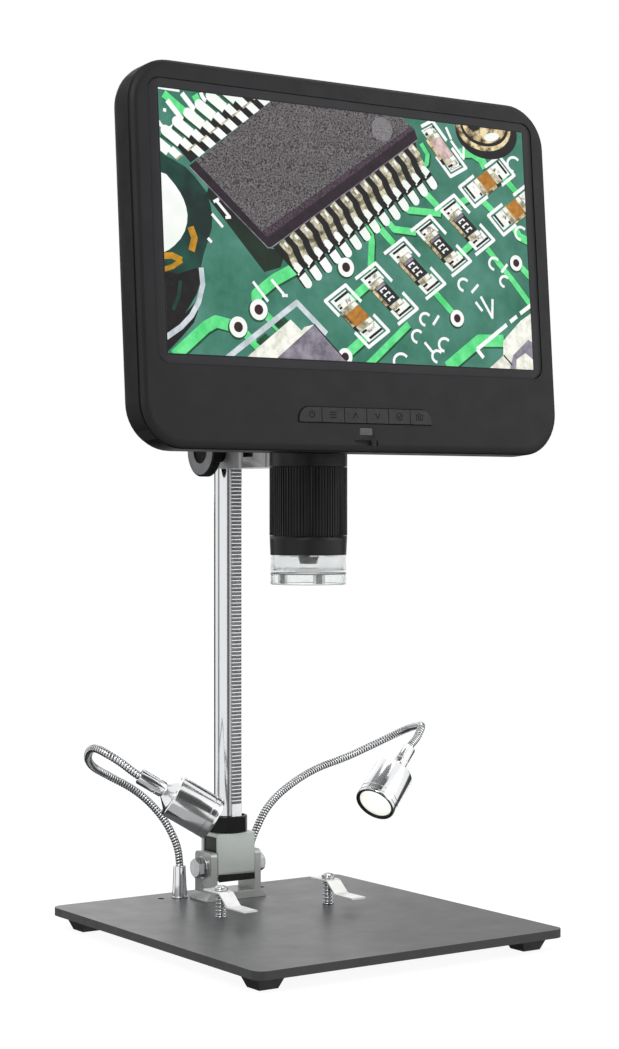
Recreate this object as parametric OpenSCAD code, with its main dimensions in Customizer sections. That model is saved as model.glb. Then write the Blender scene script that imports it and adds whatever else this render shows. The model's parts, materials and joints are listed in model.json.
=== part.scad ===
// Bench-top digital microscope with a tilting display, a rack column, two stage clips and two
// gooseneck lamps. Millimetres. +Z is up, +X runs to the right of the display and +Y to the back.
// The origin lies on the table under the centre of the base plate.

/* [Base plate] */
// Width of the base plate, left to right
plate_w = 155.7; // [150:0.1:175]
// Depth of the base plate, front to back
plate_d = 170; // [166:1:190]
// Thickness of the base plate
plate_t = 3.6; // [3.2:0.1:5]
// Corner radius of the base plate
plate_r = 5; // [3:0.5:8]
// Height of a rubber foot
foot_h = 6; // [4:0.5:9]
// Width of a foot where it meets the plate
foot_top_w = 14; // [11:0.5:16]
// Width of a foot where it meets the table
foot_bottom_w = 9; // [7:0.5:10.5]
// Distance from the plate's side edge to a foot's centre line
foot_inset_x = 11; // [9:0.5:16]
// Distance from the plate's front or back edge to a foot's centre line
foot_inset_y = 13.5; // [9:0.5:16]

/* [Bracket and hinge block] */
// Distance of the column axis from the plate's rear edge
column_inset = 25.3; // [24:0.1:30]
// Width of the hinge block
block_w = 19.7; // [19:0.1:21]
// Depth of the hinge block
block_d = 14.9; // [14.5:0.1:16]
// Height of the hinge block
block_h = 22; // [21:0.5:24]
// Wall of the hinge block
block_wall = 1.9; // [1.5:0.1:2.2]
// Depth of the clevis bracket
bracket_d = 14.3; // [13:0.1:16]
// Thickness of a bracket ear and of the web below the block
ear_t = 3.4; // [3:0.1:4]
// Height of the ears above the plate
ear_h = 21.9; // [21:0.1:24]
// How far the foot flares out past an ear
flare = 2.8; // [2:0.1:3.5]
// Height of the hinge bolt above the plate
bolt_z = 14.9; // [14.5:0.1:15.5]
// Radius of the hinge bolt
bolt_r = 2.5; // [2:0.1:3]

/* [Column and rack] */
// Diameter of the column tube
column_d = 12.8; // [12.4:0.1:13.2]
// Wall of the column tube
column_wall = 1.7; // [1.5:0.1:2.2]
// Height of the column's end above the table
column_top = 290; // [286:1:310]
// Width of the rack strip
rack_w = 5; // [4.4:0.1:5.4]
// Thickness of the rack strip, teeth included
rack_t = 2.1; // [1.9:0.1:2.2]
// How far the rack's tooth tips stand in front of the tube
rack_proud = 1.2; // [1.1:0.05:1.4]
// Distance from tooth to tooth of the rack
tooth_pitch = 1.7; // [1.6:0.05:1.8]
// Height of the lock nut
nut_h = 7.4; // [6:0.1:9]
// Width across the flats of the lock nut
nut_flats = 17; // [16.5:0.1:18]

/* [Carriage and knob] */
// Height of the carriage's lower face above the table
carriage_z = 206; // [203:0.5:210]
// Height of the carriage body
carriage_h = 34; // [30:0.5:36]
// Outer radius of the sleeve round the column
sleeve_r = 11; // [10.5:0.1:12]
// Width of the arm between sleeve and camera
arm_w = 20; // [18:0.5:21]
// Teeth of the pinion
pinion_teeth = 16; // [15:1:17]
// Height of the pinion above the carriage's lower face
pinion_up = 7.6; // [7:0.1:8.5]
// Diameter of the focus knob
knob_d = 23; // [20:0.5:25]
// Thickness of the focus knob
knob_t = 4.3; // [3.5:0.1:6]
// Distance from the column axis to the knob's outer face
knob_face_x = 22.1; // [20:0.1:24]
// Radius of the pinion shaft
shaft_r = 2; // [1.6:0.1:2.2]

/* [Camera] */
// Distance from the column axis to the camera axis
reach = 65.3; // [60:0.1:75]
// Radius of the camera barrel
barrel_r = 16.9; // [16.7:0.1:18]
// Wall of the camera housing
barrel_wall = 1.9; // [1.8:0.1:2.2]
// Height of the camera housing
housing_h = 26; // [25:0.5:28]
// Height of the ribbed focus ring
ring_h = 29.6; // [26:0.1:32]
// Ribs on the focus ring
ring_ribs = 80; // [60:1:90]
// Depth of the grooves between the ribs
rib_depth = 0.45; // [0.3:0.05:0.6]
// Height of the plain nose ring below the focus ring
nose_h = 8.2; // [7:0.1:9]
// Height of the frosted diffuser
diffuser_h = 8.2; // [7:0.1:10]
// Height of the clear rim below the diffuser
rim_h = 4.5; // [3:0.1:6]
// Wall of diffuser and clear rim
hood_wall = 1.2; // [1:0.1:1.5]

/* [Display] */
// Width of the display
display_w = 214; // [190:1:240]
// Height of the screen opening
screen_h = 115; // [100:1:130]
// Width of the rim beside the screen opening
side_rim = 8; // [7:0.5:14]
// Height of the rim above the screen opening
top_rim = 8; // [7:0.5:14]
// Height of the chin below the screen opening
chin_h = 33.7; // [32:0.1:42]
// Black border beside the picture
border_x = 5; // [3.5:0.5:9]
// Black border above and below the picture
border_y = 4.2; // [3:0.1:8]
// Thickness of the display
display_t = 19; // [17:0.5:20]
// Thickness of the front bezel
bezel_t = 2.4; // [2.2:0.1:3]
// Radius of the display's corners
display_r = 19; // [17:0.5:20]
// Wall of the rear cover
cover_wall = 2; // [1.8:0.1:2.4]
// Radius of the rear cover's back edges
cover_edge_r = 8; // [6:0.5:10]
// How far the display leans back, in degrees
lean = 4.26; // [2:0.1:8]
// Distance of the display's hinge pin in front of the camera axis
pin_forward = 8.3; // [6:0.1:9]
// Height of the hinge pin above the camera housing
pin_up = 14; // [12:0.1:18]
// Height of the hinge pin above the display's lower edge
hinge_up = 36.9; // [35:0.1:45]
// Distance of the hinge pin behind the rear cover
hinge_back = 12.4; // [12:0.1:13]

/* [Buttons] */
// Width of one button
button_w = 11.1; // [10:0.1:11.2]
// Distance from button to button
button_pitch = 11.4; // [11.3:0.1:12]
// Height of a button
button_h = 6.2; // [5.5:0.1:6.5]
// Distance of the buttons' centre line below the screen opening
button_drop = 18.6; // [14:0.1:20]
// How far a button stands out of the bezel
button_proud = 0.6; // [0.5:0.1:1]

/* [Stage clips] */
// Distance of a clip screw from the centre line
clip_x = 28.5; // [26:0.5:34]
// Distance of a clip screw behind the camera axis
clip_behind = 25.9; // [20:0.1:27]
// Width of a clip strip
clip_w = 7.2; // [6:0.1:8]
// Thickness of a clip strip
clip_t = 0.8; // [0.6:0.1:1]
// Height of a clip strip's upper side above the plate
clip_h = 11.4; // [10.5:0.1:13]
// Length of the strip behind the screw
clip_back = 8.7; // [6:0.1:11]
// Length of the pressing end
clip_tip = 13.5; // [10:0.5:16]
// Wire thickness of the clip springs
spring_wire = 0.6; // [0.5:0.05:0.8]
// Outer diameter of the clip springs
spring_d = 5.2; // [4.8:0.1:6]

/* [Lamps] */
// Distance of a lamp post from the centre line
post_x = 18.8; // [18.5:0.1:22]
// Distance of a lamp post behind the column axis
post_back = 11.6; // [10.5:0.1:13]
// Height of a lamp post above the plate
post_h = 14.7; // [12:0.1:17]
// Diameter of the gooseneck
neck_d = 3.7; // [3.2:0.1:4]
// Pitch of the gooseneck's windings
neck_pitch = 2; // [1.9:0.1:2.6]
// Diameter of a lamp head
head_d = 19; // [17:0.5:21]
// Length of a lamp head's cylinder
head_l = 21; // [18:0.5:24]
// Length of the sleeve that holds the gooseneck
sleeve_l = 12.3; // [10:0.1:14]
// Diameter of that sleeve
sleeve_d = 7; // [6.2:0.1:8]

/* [Hidden] */
$fn = 64;

// Clearances
run_gap = 0.05;
side_gap = 0.15;
slip_gap = 0.3;
cut = 0.5;

// Base
plate_top = foot_h + plate_t;
column_y = plate_d / 2 - column_inset;
camera_y = reach - column_y;
clip_y = clip_behind - camera_y;
foot_x = plate_w / 2 - foot_inset_x;
foot_y = plate_d / 2 - foot_inset_y;
plug_r = 2.9;
plug_h = plate_t - 1;
bracket_screw_x = 6;
bracket_screw_r = 2;
bracket_head_r = 4;
plate_hole_x = 27.3;
plate_hole_y = column_y + 14;
plate_hole_r = 1.5;

// Bracket: outer and inner half widths, and the height of the flare
ear_in = block_w / 2 + side_gap;
ear_out = ear_in + ear_t;
web_t = 3.6;
flare_tip = 0.8;
ear_corner = 2;
bolt_h = plate_top + bolt_z;
washer_r = 5;
washer_t = 1;
bolt_head_flats = 8;
bolt_head_t = 3.6;

// Hinge block: its lower face stands clear of the web, and its window holds the core
block_z = plate_top + 8.4;
block_top = block_z + block_h;
block_corner = 4.4;
window_h = 9;
core_inset = 0.8;
stud_r = 4;

// Column
column_r = column_d / 2;
bore_r = column_r - column_wall;
rack_front = column_y - column_r - rack_proud;
rack_back = rack_front + rack_t;
nut_recess_r = 7.6;
nut_recess = 0.9;
nut_turn = -7;
rack_z = block_top + nut_h + 0.1;
rack_end = column_top - 6;

// Rack and pinion
module_size = tooth_pitch / PI;
pressure = 20;
pinion_r = pinion_teeth * tooth_pitch / (2 * PI);
addendum = 0.95 * module_size;
dedendum = 1.2 * module_size;
tooth_play = 0.04;
pinion_y = rack_front + addendum - pinion_r - 0.05;
pinion_z = carriage_z + pinion_up;
pinion_w = 8.6;
lowest_tooth = rack_z + 6;
tooth_first = pinion_z - (floor((pinion_z - lowest_tooth) / tooth_pitch) - 0.5) * tooth_pitch;
tooth_count = floor((rack_end - 2 - tooth_first) / tooth_pitch);

// Marks on the arm's sides: a slot, and the seam of the camera's saddle
slot_l = 8;
slot_h = 3.8;
slot_t = 2.5;
slot_up = 4.7;
slot_ahead = 36.3;
slot_y = column_y - slot_ahead;
ridge_r = 2;
ridge_y = slot_y + slot_l + ridge_r + 0.2;
seam_t = 0.5;
seam_y = barrel_r - camera_y + 1.1;

// Camera, from the top down: cap, housing, focus ring, nose ring, diffuser, clear rim
housing_z = carriage_z;
housing_top = housing_z + housing_h;
ring_top = housing_z - 0.25;
ring_z = ring_top - ring_h;
nose_top = ring_z - 0.2;
nose_z = nose_top - nose_h;
diffuser_z = nose_z - diffuser_h;
rim_z = diffuser_z - rim_h;
tube_r = barrel_r - barrel_wall;
tube_wall = 2;
hood_r = barrel_r - 0.5;
step_h = 2.1;
board_t = 1.6;
carrier_r = tube_r - tube_wall - run_gap;
carrier_z = nose_top + 6;
carrier_h = 22;
snout_r = 4.5;
tip_r = 3.6;
lens_r = 3;
tip_z = diffuser_z + 4;
camera_board_z = housing_z + 18.7;
screw_r = 1.5;
shank_r = 1.2;
screw_head_r = 2.7;
screw_head_t = 1.8;
arm_screw_up = [7, 15];
screw_seat = tube_r + 0.1;
arm_screw_reach = 11;

// Display, in its own axes: X to the right, Y up the screen, Z out of the screen
front_edge_r = 3.5;
display_up = screen_h / 2 + top_rim;
display_down = screen_h / 2 + chin_h;
screen_half_w = display_w / 2 - side_rim;
screen_half_h = screen_h / 2;
picture_half_w = screen_half_w - border_x;
picture_half_h = screen_half_h - border_y;
button_down = screen_half_h + button_drop;
hinge_down = display_down - hinge_up;
hinge_n = -display_t - hinge_back;
hinge_plate_t = 2;
hinge_plate_w = 44;
hinge_plate_h = 31;
hinge_plate_low = 14;
hinge_screw_x = 16;
hinge_screw_y = [-7, 12];
knuckle_r = 6;
knuckle_w = 12.6;
ear2_t = 4;
pin_r = 2.5;
hinge_y = -camera_y - pin_forward;
hinge_z = housing_top + pin_up;
screen_y = -hinge_y - hinge_down * sin(lean) - hinge_n * cos(lean);
screen_z = hinge_z + hinge_down * cos(lean) - hinge_n * sin(lean);
glass_back = 0.4;
panel_t = 5;
panel_lip = 1;
panel_rim = 2;
lip_r = 8;
screen_r = 5.5;
boss_outer = display_w / 2 - 15;
boss_x = [-boss_outer, -boss_outer * 0.54, boss_outer * 0.54, boss_outer];
boss_down = display_down - 13;
boss_r = 3;
boss_back = display_t - cover_wall;
main_board_n = -display_t + cover_wall + 4.4;
hinge_boss_n = -display_t + 7;
main_board_w = 0.56 * display_w;
main_board_h = 0.45 * (display_up + display_down);
standoff_x = main_board_w / 2 - 8;
standoff_y = main_board_h / 2 - 8;
standoff_r = 2.5;
chip = 20;
key_board_n = -7.2;
key_board_t = 1.2;
key_board_h = 2 * button_h;
key_post_r = 1.6;
switch_w = 3.6;
switch_t = 1.2;
ir_x = 0.95;
card_slot_w = 8.5;
ir_w = 6.7;
ir_h = 3.3;
ir_gap = 1.8;
ir_down = button_down + button_h / 2 + ir_gap + ir_h / 2;

// Vents in the back: two fields of upright slots
vent_count = 12;
vent_pitch = 3;
vent_w = 1.4;
vent_x = 0.29 * display_w;
vent_low = 0.2 * screen_half_h;
vent_h = 0.46 * screen_half_h;

// Recesses in the right side as [height, length, width], and the supply's socket
port_places = [[24, 15, 6], [4, 9, 4]];
port_n = -8.5;
socket_up = -14;
socket_r = 2.75;
socket_out_r = 4;
socket_l = 10;

// Buttons: six in a row, centred a little right of the middle
button_names = ["power", "menu", "up", "down", "ok", "camera"];
button_mid = 1;
button_slot_w = 5 * button_pitch + button_w + 2 * slip_gap;
key_post_x = button_slot_w / 2 + key_post_r + slip_gap;
key_board_w = 2 * (key_post_x + key_post_r + 0.4);
button_corner = 5;
button_stem = 3.9;

// Clips
clip_top = plate_top + clip_h;
clip_bend_y = 3.8;
clip_slope_y = 6.4;
clip_drop = 5.2;
clip_screw_r = 1.5;
clip_head_r = 3;
clip_head_t = 2.4;
spring_turns = 8;

// Lamps
post_y = column_y + post_back;
post_top = plate_top + post_h;
post_low_r = 3.45;
post_high_r = 2.8;
post_nut_flats = 8.6;
post_nut_t = 2.6;
post_below = 3.4;
neck_r = neck_d / 2;
neck_in = 4.5;
cone_l = 4.2;
joint_gap = 0.2;
neck_step = neck_pitch / 2;
neck_sides = 8;
curve_parts = 10;
ridge = 0.25;
split_at = 44;

// Routes of the goosenecks, counted from the top of each post
left_route = [
    [0, 0, 0], [-1, 1, 9], [-5, 4, 19.5], [-11.5, 7, 28.5], [-19.5, 9.5, 35.5], [-31, 10.5, 42],
    [-41, 6.5, 47], [-50, -4.5, 52.5], [-56, -17, 57.5], [-58, -26, 59.5], [-56.5, -34.5, 57.5],
    [-52.5, -39, 54], [-47.6, -42.2, 49.6]
];
left_aim = [-0.77, 0.38, 0.52];
right_route = [
    [0, 0, 0], [1.5, 0, 7.5], [5, 0.2, 14.5], [10.5, 1, 22], [19, 2.5, 28.5], [31, 4, 34.5],
    [43, 4.5, 39], [59, 3, 43.5], [73.5, -1, 49.5], [81.5, -6, 54], [83, -13.5, 57],
    [81, -22.5, 59], [77.5, -31, 60.2], [72.5, -37.5, 59.3], [67.6, -40.5, 55.6], [61.3, -44, 52.6]
];
right_aim = [0.74, 0.305, 0.6];

// ---------------------------------------------------------------- shared shapes

// Plate with round corners, standing on z = 0
module rounded_plate(w, d, t, r) {
    union() {
        translate([-w / 2 + r, -d / 2, 0]) cube([w - 2 * r, d, t]);
        translate([-w / 2, -d / 2 + r, 0]) cube([w, d - 2 * r, t]);
        for (sx = [-1, 1], sy = [-1, 1])
            translate([sx * (w / 2 - r), sy * (d / 2 - r), 0]) cylinder(r = r, h = t);
    }
}

// Cylinder along X from x0 to x1
module rod_x(r, x0, x1) {
    translate([x0, 0, 0]) rotate([0, 90, 0]) cylinder(r = r, h = x1 - x0);
}

// Hexagonal prism with chamfered corners on z = 0
module hex(flats, h) {
    corner = flats / cos(30) / 2;
    bevel = corner - flats / 2;
    intersection() {
        cylinder(r = corner, h = h, $fn = 6);
        rotate_extrude() polygon([
            [0, 0], [corner - bevel, 0], [corner, bevel * 0.6],
            [corner, h - bevel * 0.6], [corner - bevel, h], [0, h]
        ]);
    }
}

// Puts the display's own axes in place
module on_display() {
    translate([0, -screen_y, screen_z]) rotate([90 - lean, 0, 0]) children();
}

// Turns +Z along a direction at a point
module aimed(point, dir) {
    d = dir / norm(dir);
    translate(point) rotate([0, acos(d.z), atan2(d.y, d.x)]) children();
}

// ---------------------------------------------------------------- swept tubes

// One point of a Catmull-Rom curve between b and c
function curve_point(a, b, c, d, t) =
    0.5 * ((2 * b) + (c - a) * t + (2 * a - 5 * b + 4 * c - d) * t * t
        + (3 * b - a - 3 * c + d) * t * t * t);

// Fine curve through the points from the second to the last but one
function curve(pts, k = curve_parts) = concat(
    [for (i = [1 : len(pts) - 3]) for (j = [0 : k - 1])
        curve_point(pts[i - 1], pts[i], pts[i + 1], pts[i + 2], j / k)],
    [pts[len(pts) - 2]]);

// Pairs of the length so far and the point
function measured(p) = [for (i = 0, s = 0; i < len(p); s = s + (i + 1 < len(p) ? norm(p[i + 1] - p[i]) : 0),
    i = i + 1) [s, p[i]]];
function track(m, axis) = [for (q = m) [q[0], q[1][axis]]];
function place(t, s) = [lookup(s, t[0]), lookup(s, t[1]), lookup(s, t[2])];
function heading(t, s, h = 0.4) = let (d = place(t, s + h) - place(t, s - h)) d / norm(d);

// Frames carried along the path without twist
function square_to(d, n) = let (v = n - (n * d) * d) v / norm(v);
function frames(dirs, first) = [for (i = 0, n = square_to(dirs[0], first); i < len(dirs);
    i = i + 1, n = i < len(dirs) ? square_to(dirs[i], n) : n) [dirs[i], n]];

// Tube through the places at the lengths in s, with the radius of each
module swept(t, s, r, sides, first) {
    dirs = [for (q = s) heading(t, q)];
    f = frames(dirs, first);
    rings = [for (i = [0 : len(s) - 1]) let (c = place(t, s[i]), n = f[i][1], b = cross(f[i][0], n))
        for (k = [0 : sides - 1]) c + r[i] * (n * cos(360 * k / sides) + b * sin(360 * k / sides))];
    last = len(s) - 1;
    faces = concat(
        [[for (k = [0 : sides - 1]) k]],
        [[for (k = [0 : sides - 1]) last * sides + sides - 1 - k]],
        [for (i = [0 : last - 1]) for (k = [0 : sides - 1]) let (a = i * sides + k,
            b = i * sides + (k + 1) % sides) [a, a + sides, b + sides]],
        [for (i = [0 : last - 1]) for (k = [0 : sides - 1]) let (a = i * sides + k,
            b = i * sides + (k + 1) % sides) [a, b + sides, b]]);
    polyhedron(points = rings, faces = faces);
}

// The whole route with the run into the post and the run into the lamp's sleeve; the fourth entry
// is the length up to the lamp's pivot
function route_track(post, route, aim) = let (
    end = post + route[len(route) - 1],
    run = aim / norm(aim) * 8,
    pts = concat([post - [0, 0, 12]], [post - [0, 0, neck_in]], [for (p = route) post + p],
        [end - run, end - 2 * run]),
    m = measured(curve(pts))) [track(m, 0), track(m, 1), track(m, 2), m[len(route) * curve_parts][0]];

// Windings between two lengths: plain ends, and a ball where the next piece swings
module winding(t, from, to, plain, ball) {
    count = floor((to - from - plain) / neck_step);
    body = [for (i = [0 : count]) from + plain + (to - from - plain) * i / count];
    body_r = [for (i = [0 : count]) (i % 2 == 1) ? neck_r : neck_r - ridge];
    head = plain > 0 ? [from] : [];
    tail = ball ? [for (a = [30, 60, 80]) to + neck_r * sin(a)] : [];
    tail_r = ball ? [for (a = [30, 60, 80]) (neck_r - ridge) * cos(a)] : [];
    swept(t, concat(head, body, tail), concat(plain > 0 ? [neck_r - ridge] : [], body_r, tail_r),
        neck_sides, [0, 1, 0]);
}

left_post = [-post_x, post_y, post_top];
right_post = [post_x, post_y, post_top];
left_track = route_track(left_post, left_route, left_aim);
right_track = route_track(right_post, right_route, right_aim);
left_head = left_post + left_route[len(left_route) - 1];
right_head = right_post + right_route[len(right_route) - 1];

// ---------------------------------------------------------------- base

module base_plate() {
    color("#7c7c7c") difference() {
        translate([0, 0, foot_h]) rounded_plate(plate_w, plate_d, plate_t, plate_r);
        for (sx = [-1, 1], sy = [-1, 1])
            translate([sx * foot_x, sy * foot_y, foot_h - cut]) cylinder(r = plug_r, h = plug_h + cut);
        for (sx = [-1, 1]) {
            translate([sx * plate_hole_x, plate_hole_y, foot_h - cut])
                cylinder(r = plate_hole_r, h = plate_t + 2 * cut);
            translate([sx * post_x, post_y, foot_h - cut])
                cylinder(r = post_high_r, h = plate_t + 2 * cut);
            translate([sx * clip_x, clip_y, foot_h - cut])
                cylinder(r = clip_screw_r, h = plate_t + 2 * cut);
            translate([sx * bracket_screw_x, column_y, foot_h - cut])
                cylinder(r = bracket_screw_r, h = plate_t + 2 * cut);
            translate([sx * bracket_screw_x, column_y, foot_h])
                cylinder(r1 = bracket_head_r, r2 = bracket_screw_r, h = bracket_head_r - bracket_screw_r);
        }
    }
}

// Square foot that tapers to the table, with the plug that is pressed into the plate
module foot() {
    half_top = foot_top_w / 2;
    half_low = foot_bottom_w / 2;
    side = [[-half_low, 0], [half_low, 0], [half_top, foot_h], [-half_top, foot_h]];
    intersection() {
        translate([0, half_top, 0]) rotate([90, 0, 0]) linear_extrude(foot_top_w) polygon(side);
        translate([-half_top, 0, 0]) rotate([90, 0, 90]) linear_extrude(foot_top_w) polygon(side);
    }
    translate([0, 0, foot_h]) cylinder(r = plug_r, h = plug_h);
}

module rubber_feet() {
    color("#1c1c1c") for (sx = [-1, 1], sy = [-1, 1])
        translate([sx * foot_x, sy * foot_y, 0]) foot();
}

// U-shaped extrusion whose foot flares out along the plate
module bracket() {
    color("#9aa09a") difference() {
        intersection() {
            translate([0, column_y + bracket_d / 2, plate_top]) rotate([90, 0, 0])
                linear_extrude(bracket_d) polygon([
                    [-ear_out - flare, 0], [ear_out + flare, 0], [ear_out + flare, flare_tip],
                    [ear_out, flare_tip + flare], [ear_out, ear_h], [ear_in, ear_h], [ear_in, web_t],
                    [-ear_in, web_t], [-ear_in, ear_h], [-ear_out, ear_h],
                    [-ear_out, flare_tip + flare], [-ear_out - flare, flare_tip]
                ]);
            union() {
                translate([-ear_out - 5, column_y - bracket_d / 2, plate_top])
                    cube([2 * ear_out + 10, bracket_d, ear_h - ear_corner]);
                translate([-ear_out - 5, column_y - bracket_d / 2 + ear_corner, plate_top])
                    cube([2 * ear_out + 10, bracket_d - 2 * ear_corner, ear_h]);
                for (s = [-1, 1])
                    translate([0, column_y + s * (bracket_d / 2 - ear_corner), plate_top + ear_h - ear_corner])
                        rod_x(ear_corner, -ear_out - 5, ear_out + 5);
            }
        }
        translate([0, column_y, bolt_h]) rod_x(bolt_r + run_gap, -ear_out - cut, ear_out + cut);
        for (sx = [-1, 1])
            translate([sx * bracket_screw_x, column_y, plate_top - cut])
                cylinder(r = bracket_screw_r, h = web_t - 0.6 + cut);
    }
}

module bracket_screws() {
    color("#8c8f92") for (sx = [-1, 1]) translate([sx * bracket_screw_x, column_y, foot_h])
        difference() {
            union() {
                cylinder(r1 = bracket_head_r, r2 = bracket_screw_r, h = bracket_head_r - bracket_screw_r);
                cylinder(r = bracket_screw_r, h = plate_t + web_t - 0.8);
            }
            translate([0, 0, -cut]) cylinder(r = 1.4, h = 1.3 + cut, $fn = 6);
        }
}

module hinge_bolt() {
    color("#c9ccce") translate([0, column_y, bolt_h]) union() {
        translate([-ear_out - washer_t - bolt_head_t, 0, 0]) rotate([0, 90, 0])
            hex(bolt_head_flats, bolt_head_t);
        rod_x(bolt_r, -ear_out - washer_t, ear_out + washer_t + bolt_head_t + 1);
    }
}

module hinge_washers() {
    color("#b5b8ba") translate([0, column_y, bolt_h]) for (x0 = [-ear_out - washer_t, ear_out])
        difference() {
            rod_x(washer_r, x0, x0 + washer_t);
            rod_x(bolt_r + run_gap, x0 - cut, x0 + washer_t + cut);
        }
}

module hinge_nut() {
    color("#c9ccce") translate([ear_out + washer_t, column_y, bolt_h]) rotate([0, 90, 0])
        difference() {
            hex(bolt_head_flats, bolt_head_t);
            translate([0, 0, -cut]) cylinder(r = bolt_r, h = bolt_head_t + 2 * cut);
        }
}

// Tapered chrome socket that the gooseneck grows out of, with its threaded end under the plate
module lamp_post(x) {
    color("#d8dadc") translate([x, post_y, 0]) difference() {
        union() {
            translate([0, 0, plate_top]) cylinder(r = post_low_r + 0.3, h = 0.8);
            translate([0, 0, plate_top + 0.8])
                cylinder(r1 = post_low_r, r2 = post_high_r, h = post_h - 0.8);
            translate([0, 0, foot_h - post_below]) cylinder(r = post_high_r, h = plate_t + post_below);
        }
        translate([0, 0, post_top - neck_in - 0.3]) cylinder(r = neck_r, h = neck_in + 0.3 + cut);
        translate([0, 0, foot_h - post_below - cut]) cylinder(r = 1, h = post_top);
    }
}

module lamp_post_left() { lamp_post(-post_x); }
module lamp_post_right() { lamp_post(post_x); }

module post_nuts() {
    color("#b5b8ba") for (sx = [-1, 1]) translate([sx * post_x, post_y, foot_h - post_nut_t])
        difference() {
            hex(post_nut_flats, post_nut_t);
            translate([0, 0, -cut]) cylinder(r = post_high_r, h = post_nut_t + 2 * cut);
        }
}

// Round-headed screws that hold the clips, with a cross recess
module clip_screws() {
    color("#c9ccce") for (sx = [-1, 1]) translate([sx * clip_x, clip_y, 0]) difference() {
        union() {
            translate([0, 0, foot_h]) cylinder(r = clip_screw_r, h = clip_top - foot_h + side_gap);
            translate([0, 0, clip_top + side_gap]) intersection() {
                cylinder(r = clip_head_r, h = clip_head_t);
                translate([0, 0, clip_head_t - clip_head_r * 1.6]) sphere(r = clip_head_r * 1.6);
            }
        }
        for (a = [0, 90])
            translate([0, 0, clip_top + clip_head_t]) rotate(a)
                translate([-1.5, -0.3, -0.6]) cube([3, 0.6, 2]);
    }
}

// ---------------------------------------------------------------- column

// Extruded block with a round-cornered foot and a window through it
module hinge_block() {
    color("#a3a8a3") difference() {
        union() {
            translate([-block_w / 2, column_y - block_d / 2, block_z + block_corner])
                cube([block_w, block_d, block_h - block_corner]);
            translate([-block_w / 2, column_y - block_d / 2 + block_corner, block_z])
                cube([block_w, block_d - 2 * block_corner, block_corner * 2]);
            for (s = [-1, 1])
                translate([0, column_y + s * (block_d / 2 - block_corner), block_z + block_corner])
                    rod_x(block_corner, -block_w / 2, block_w / 2);
        }
        translate([-block_w / 2 - cut, column_y - block_d / 2 + block_wall, block_top - block_wall - window_h])
            cube([block_w + 2 * cut, block_d - 2 * block_wall, window_h]);
        translate([0, column_y, block_top - block_wall - cut]) cylinder(r = stud_r, h = block_wall + 2 * cut);
        translate([0, column_y, bolt_h]) rod_x(bolt_r + run_gap, -block_w, block_w);
    }
}

module block_core() {
    color("#2a2a2a") difference() {
        translate([-block_w / 2 + core_inset, column_y - block_d / 2 + block_wall,
            block_top - block_wall - window_h])
            cube([block_w - 2 * core_inset, block_d - 2 * block_wall, window_h]);
        translate([0, column_y, block_top - block_wall - window_h + 1]) cylinder(r = stud_r, h = window_h);
    }
}

module lock_nut() {
    color("#141414") translate([0, column_y, block_top]) rotate(nut_turn) difference() {
        hex(nut_flats, nut_h);
        translate([0, 0, -cut]) cylinder(r = column_r, h = nut_h + 2 * cut);
        translate([0, 0, nut_h - nut_recess]) cylinder(r = nut_recess_r, h = nut_recess + cut);
    }
}

// Tube with the slot that the rack lies in, and the stud at its foot
module column_tube() {
    color("#d4d6d8") translate([0, column_y, 0]) difference() {
        union() {
            translate([0, 0, block_top]) cylinder(r = column_r, h = column_top - block_top);
            translate([0, 0, block_top - block_wall - window_h + 1.2])
                cylinder(r = stud_r, h = block_wall + window_h);
        }
        translate([0, 0, block_top + 4]) cylinder(r = bore_r, h = column_top);
        translate([-rack_w / 2, -column_r - cut, rack_z])
            cube([rack_w, rack_back - column_y + column_r + cut, rack_end - rack_z]);
    }
}

// Rack strip: plain at its foot, toothed above it
module rack() {
    flank = (addendum + dedendum) * tan(pressure);
    tip = tooth_pitch / 4 - addendum * tan(pressure) - tooth_play / 2;
    root = tip + flank;
    root_y = rack_front + addendum + dedendum;
    teeth = [for (i = [0 : tooth_count - 1]) let (z = tooth_first + i * tooth_pitch)
        each [[root_y, z - root], [rack_front, z - tip], [rack_front, z + tip], [root_y, z + root]]];
    color("#bcbfc2") translate([-rack_w / 2, 0, 0]) rotate([90, 0, 90]) linear_extrude(rack_w)
        polygon(concat([[rack_back, rack_z], [rack_front, rack_z],
            [rack_front, tooth_first - tooth_pitch + tip],
            [root_y, tooth_first - tooth_pitch + root]], teeth, [[root_y, rack_end], [rack_back, rack_end]]));
}

module column_cap() {
    color("#1c1c1c") translate([0, column_y, 0]) union() {
        translate([0, 0, column_top]) cylinder(r = column_r, h = 1.6);
        translate([0, 0, column_top - 5]) cylinder(r = bore_r, h = 5.1);
    }
}

// ---------------------------------------------------------------- carriage

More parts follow.
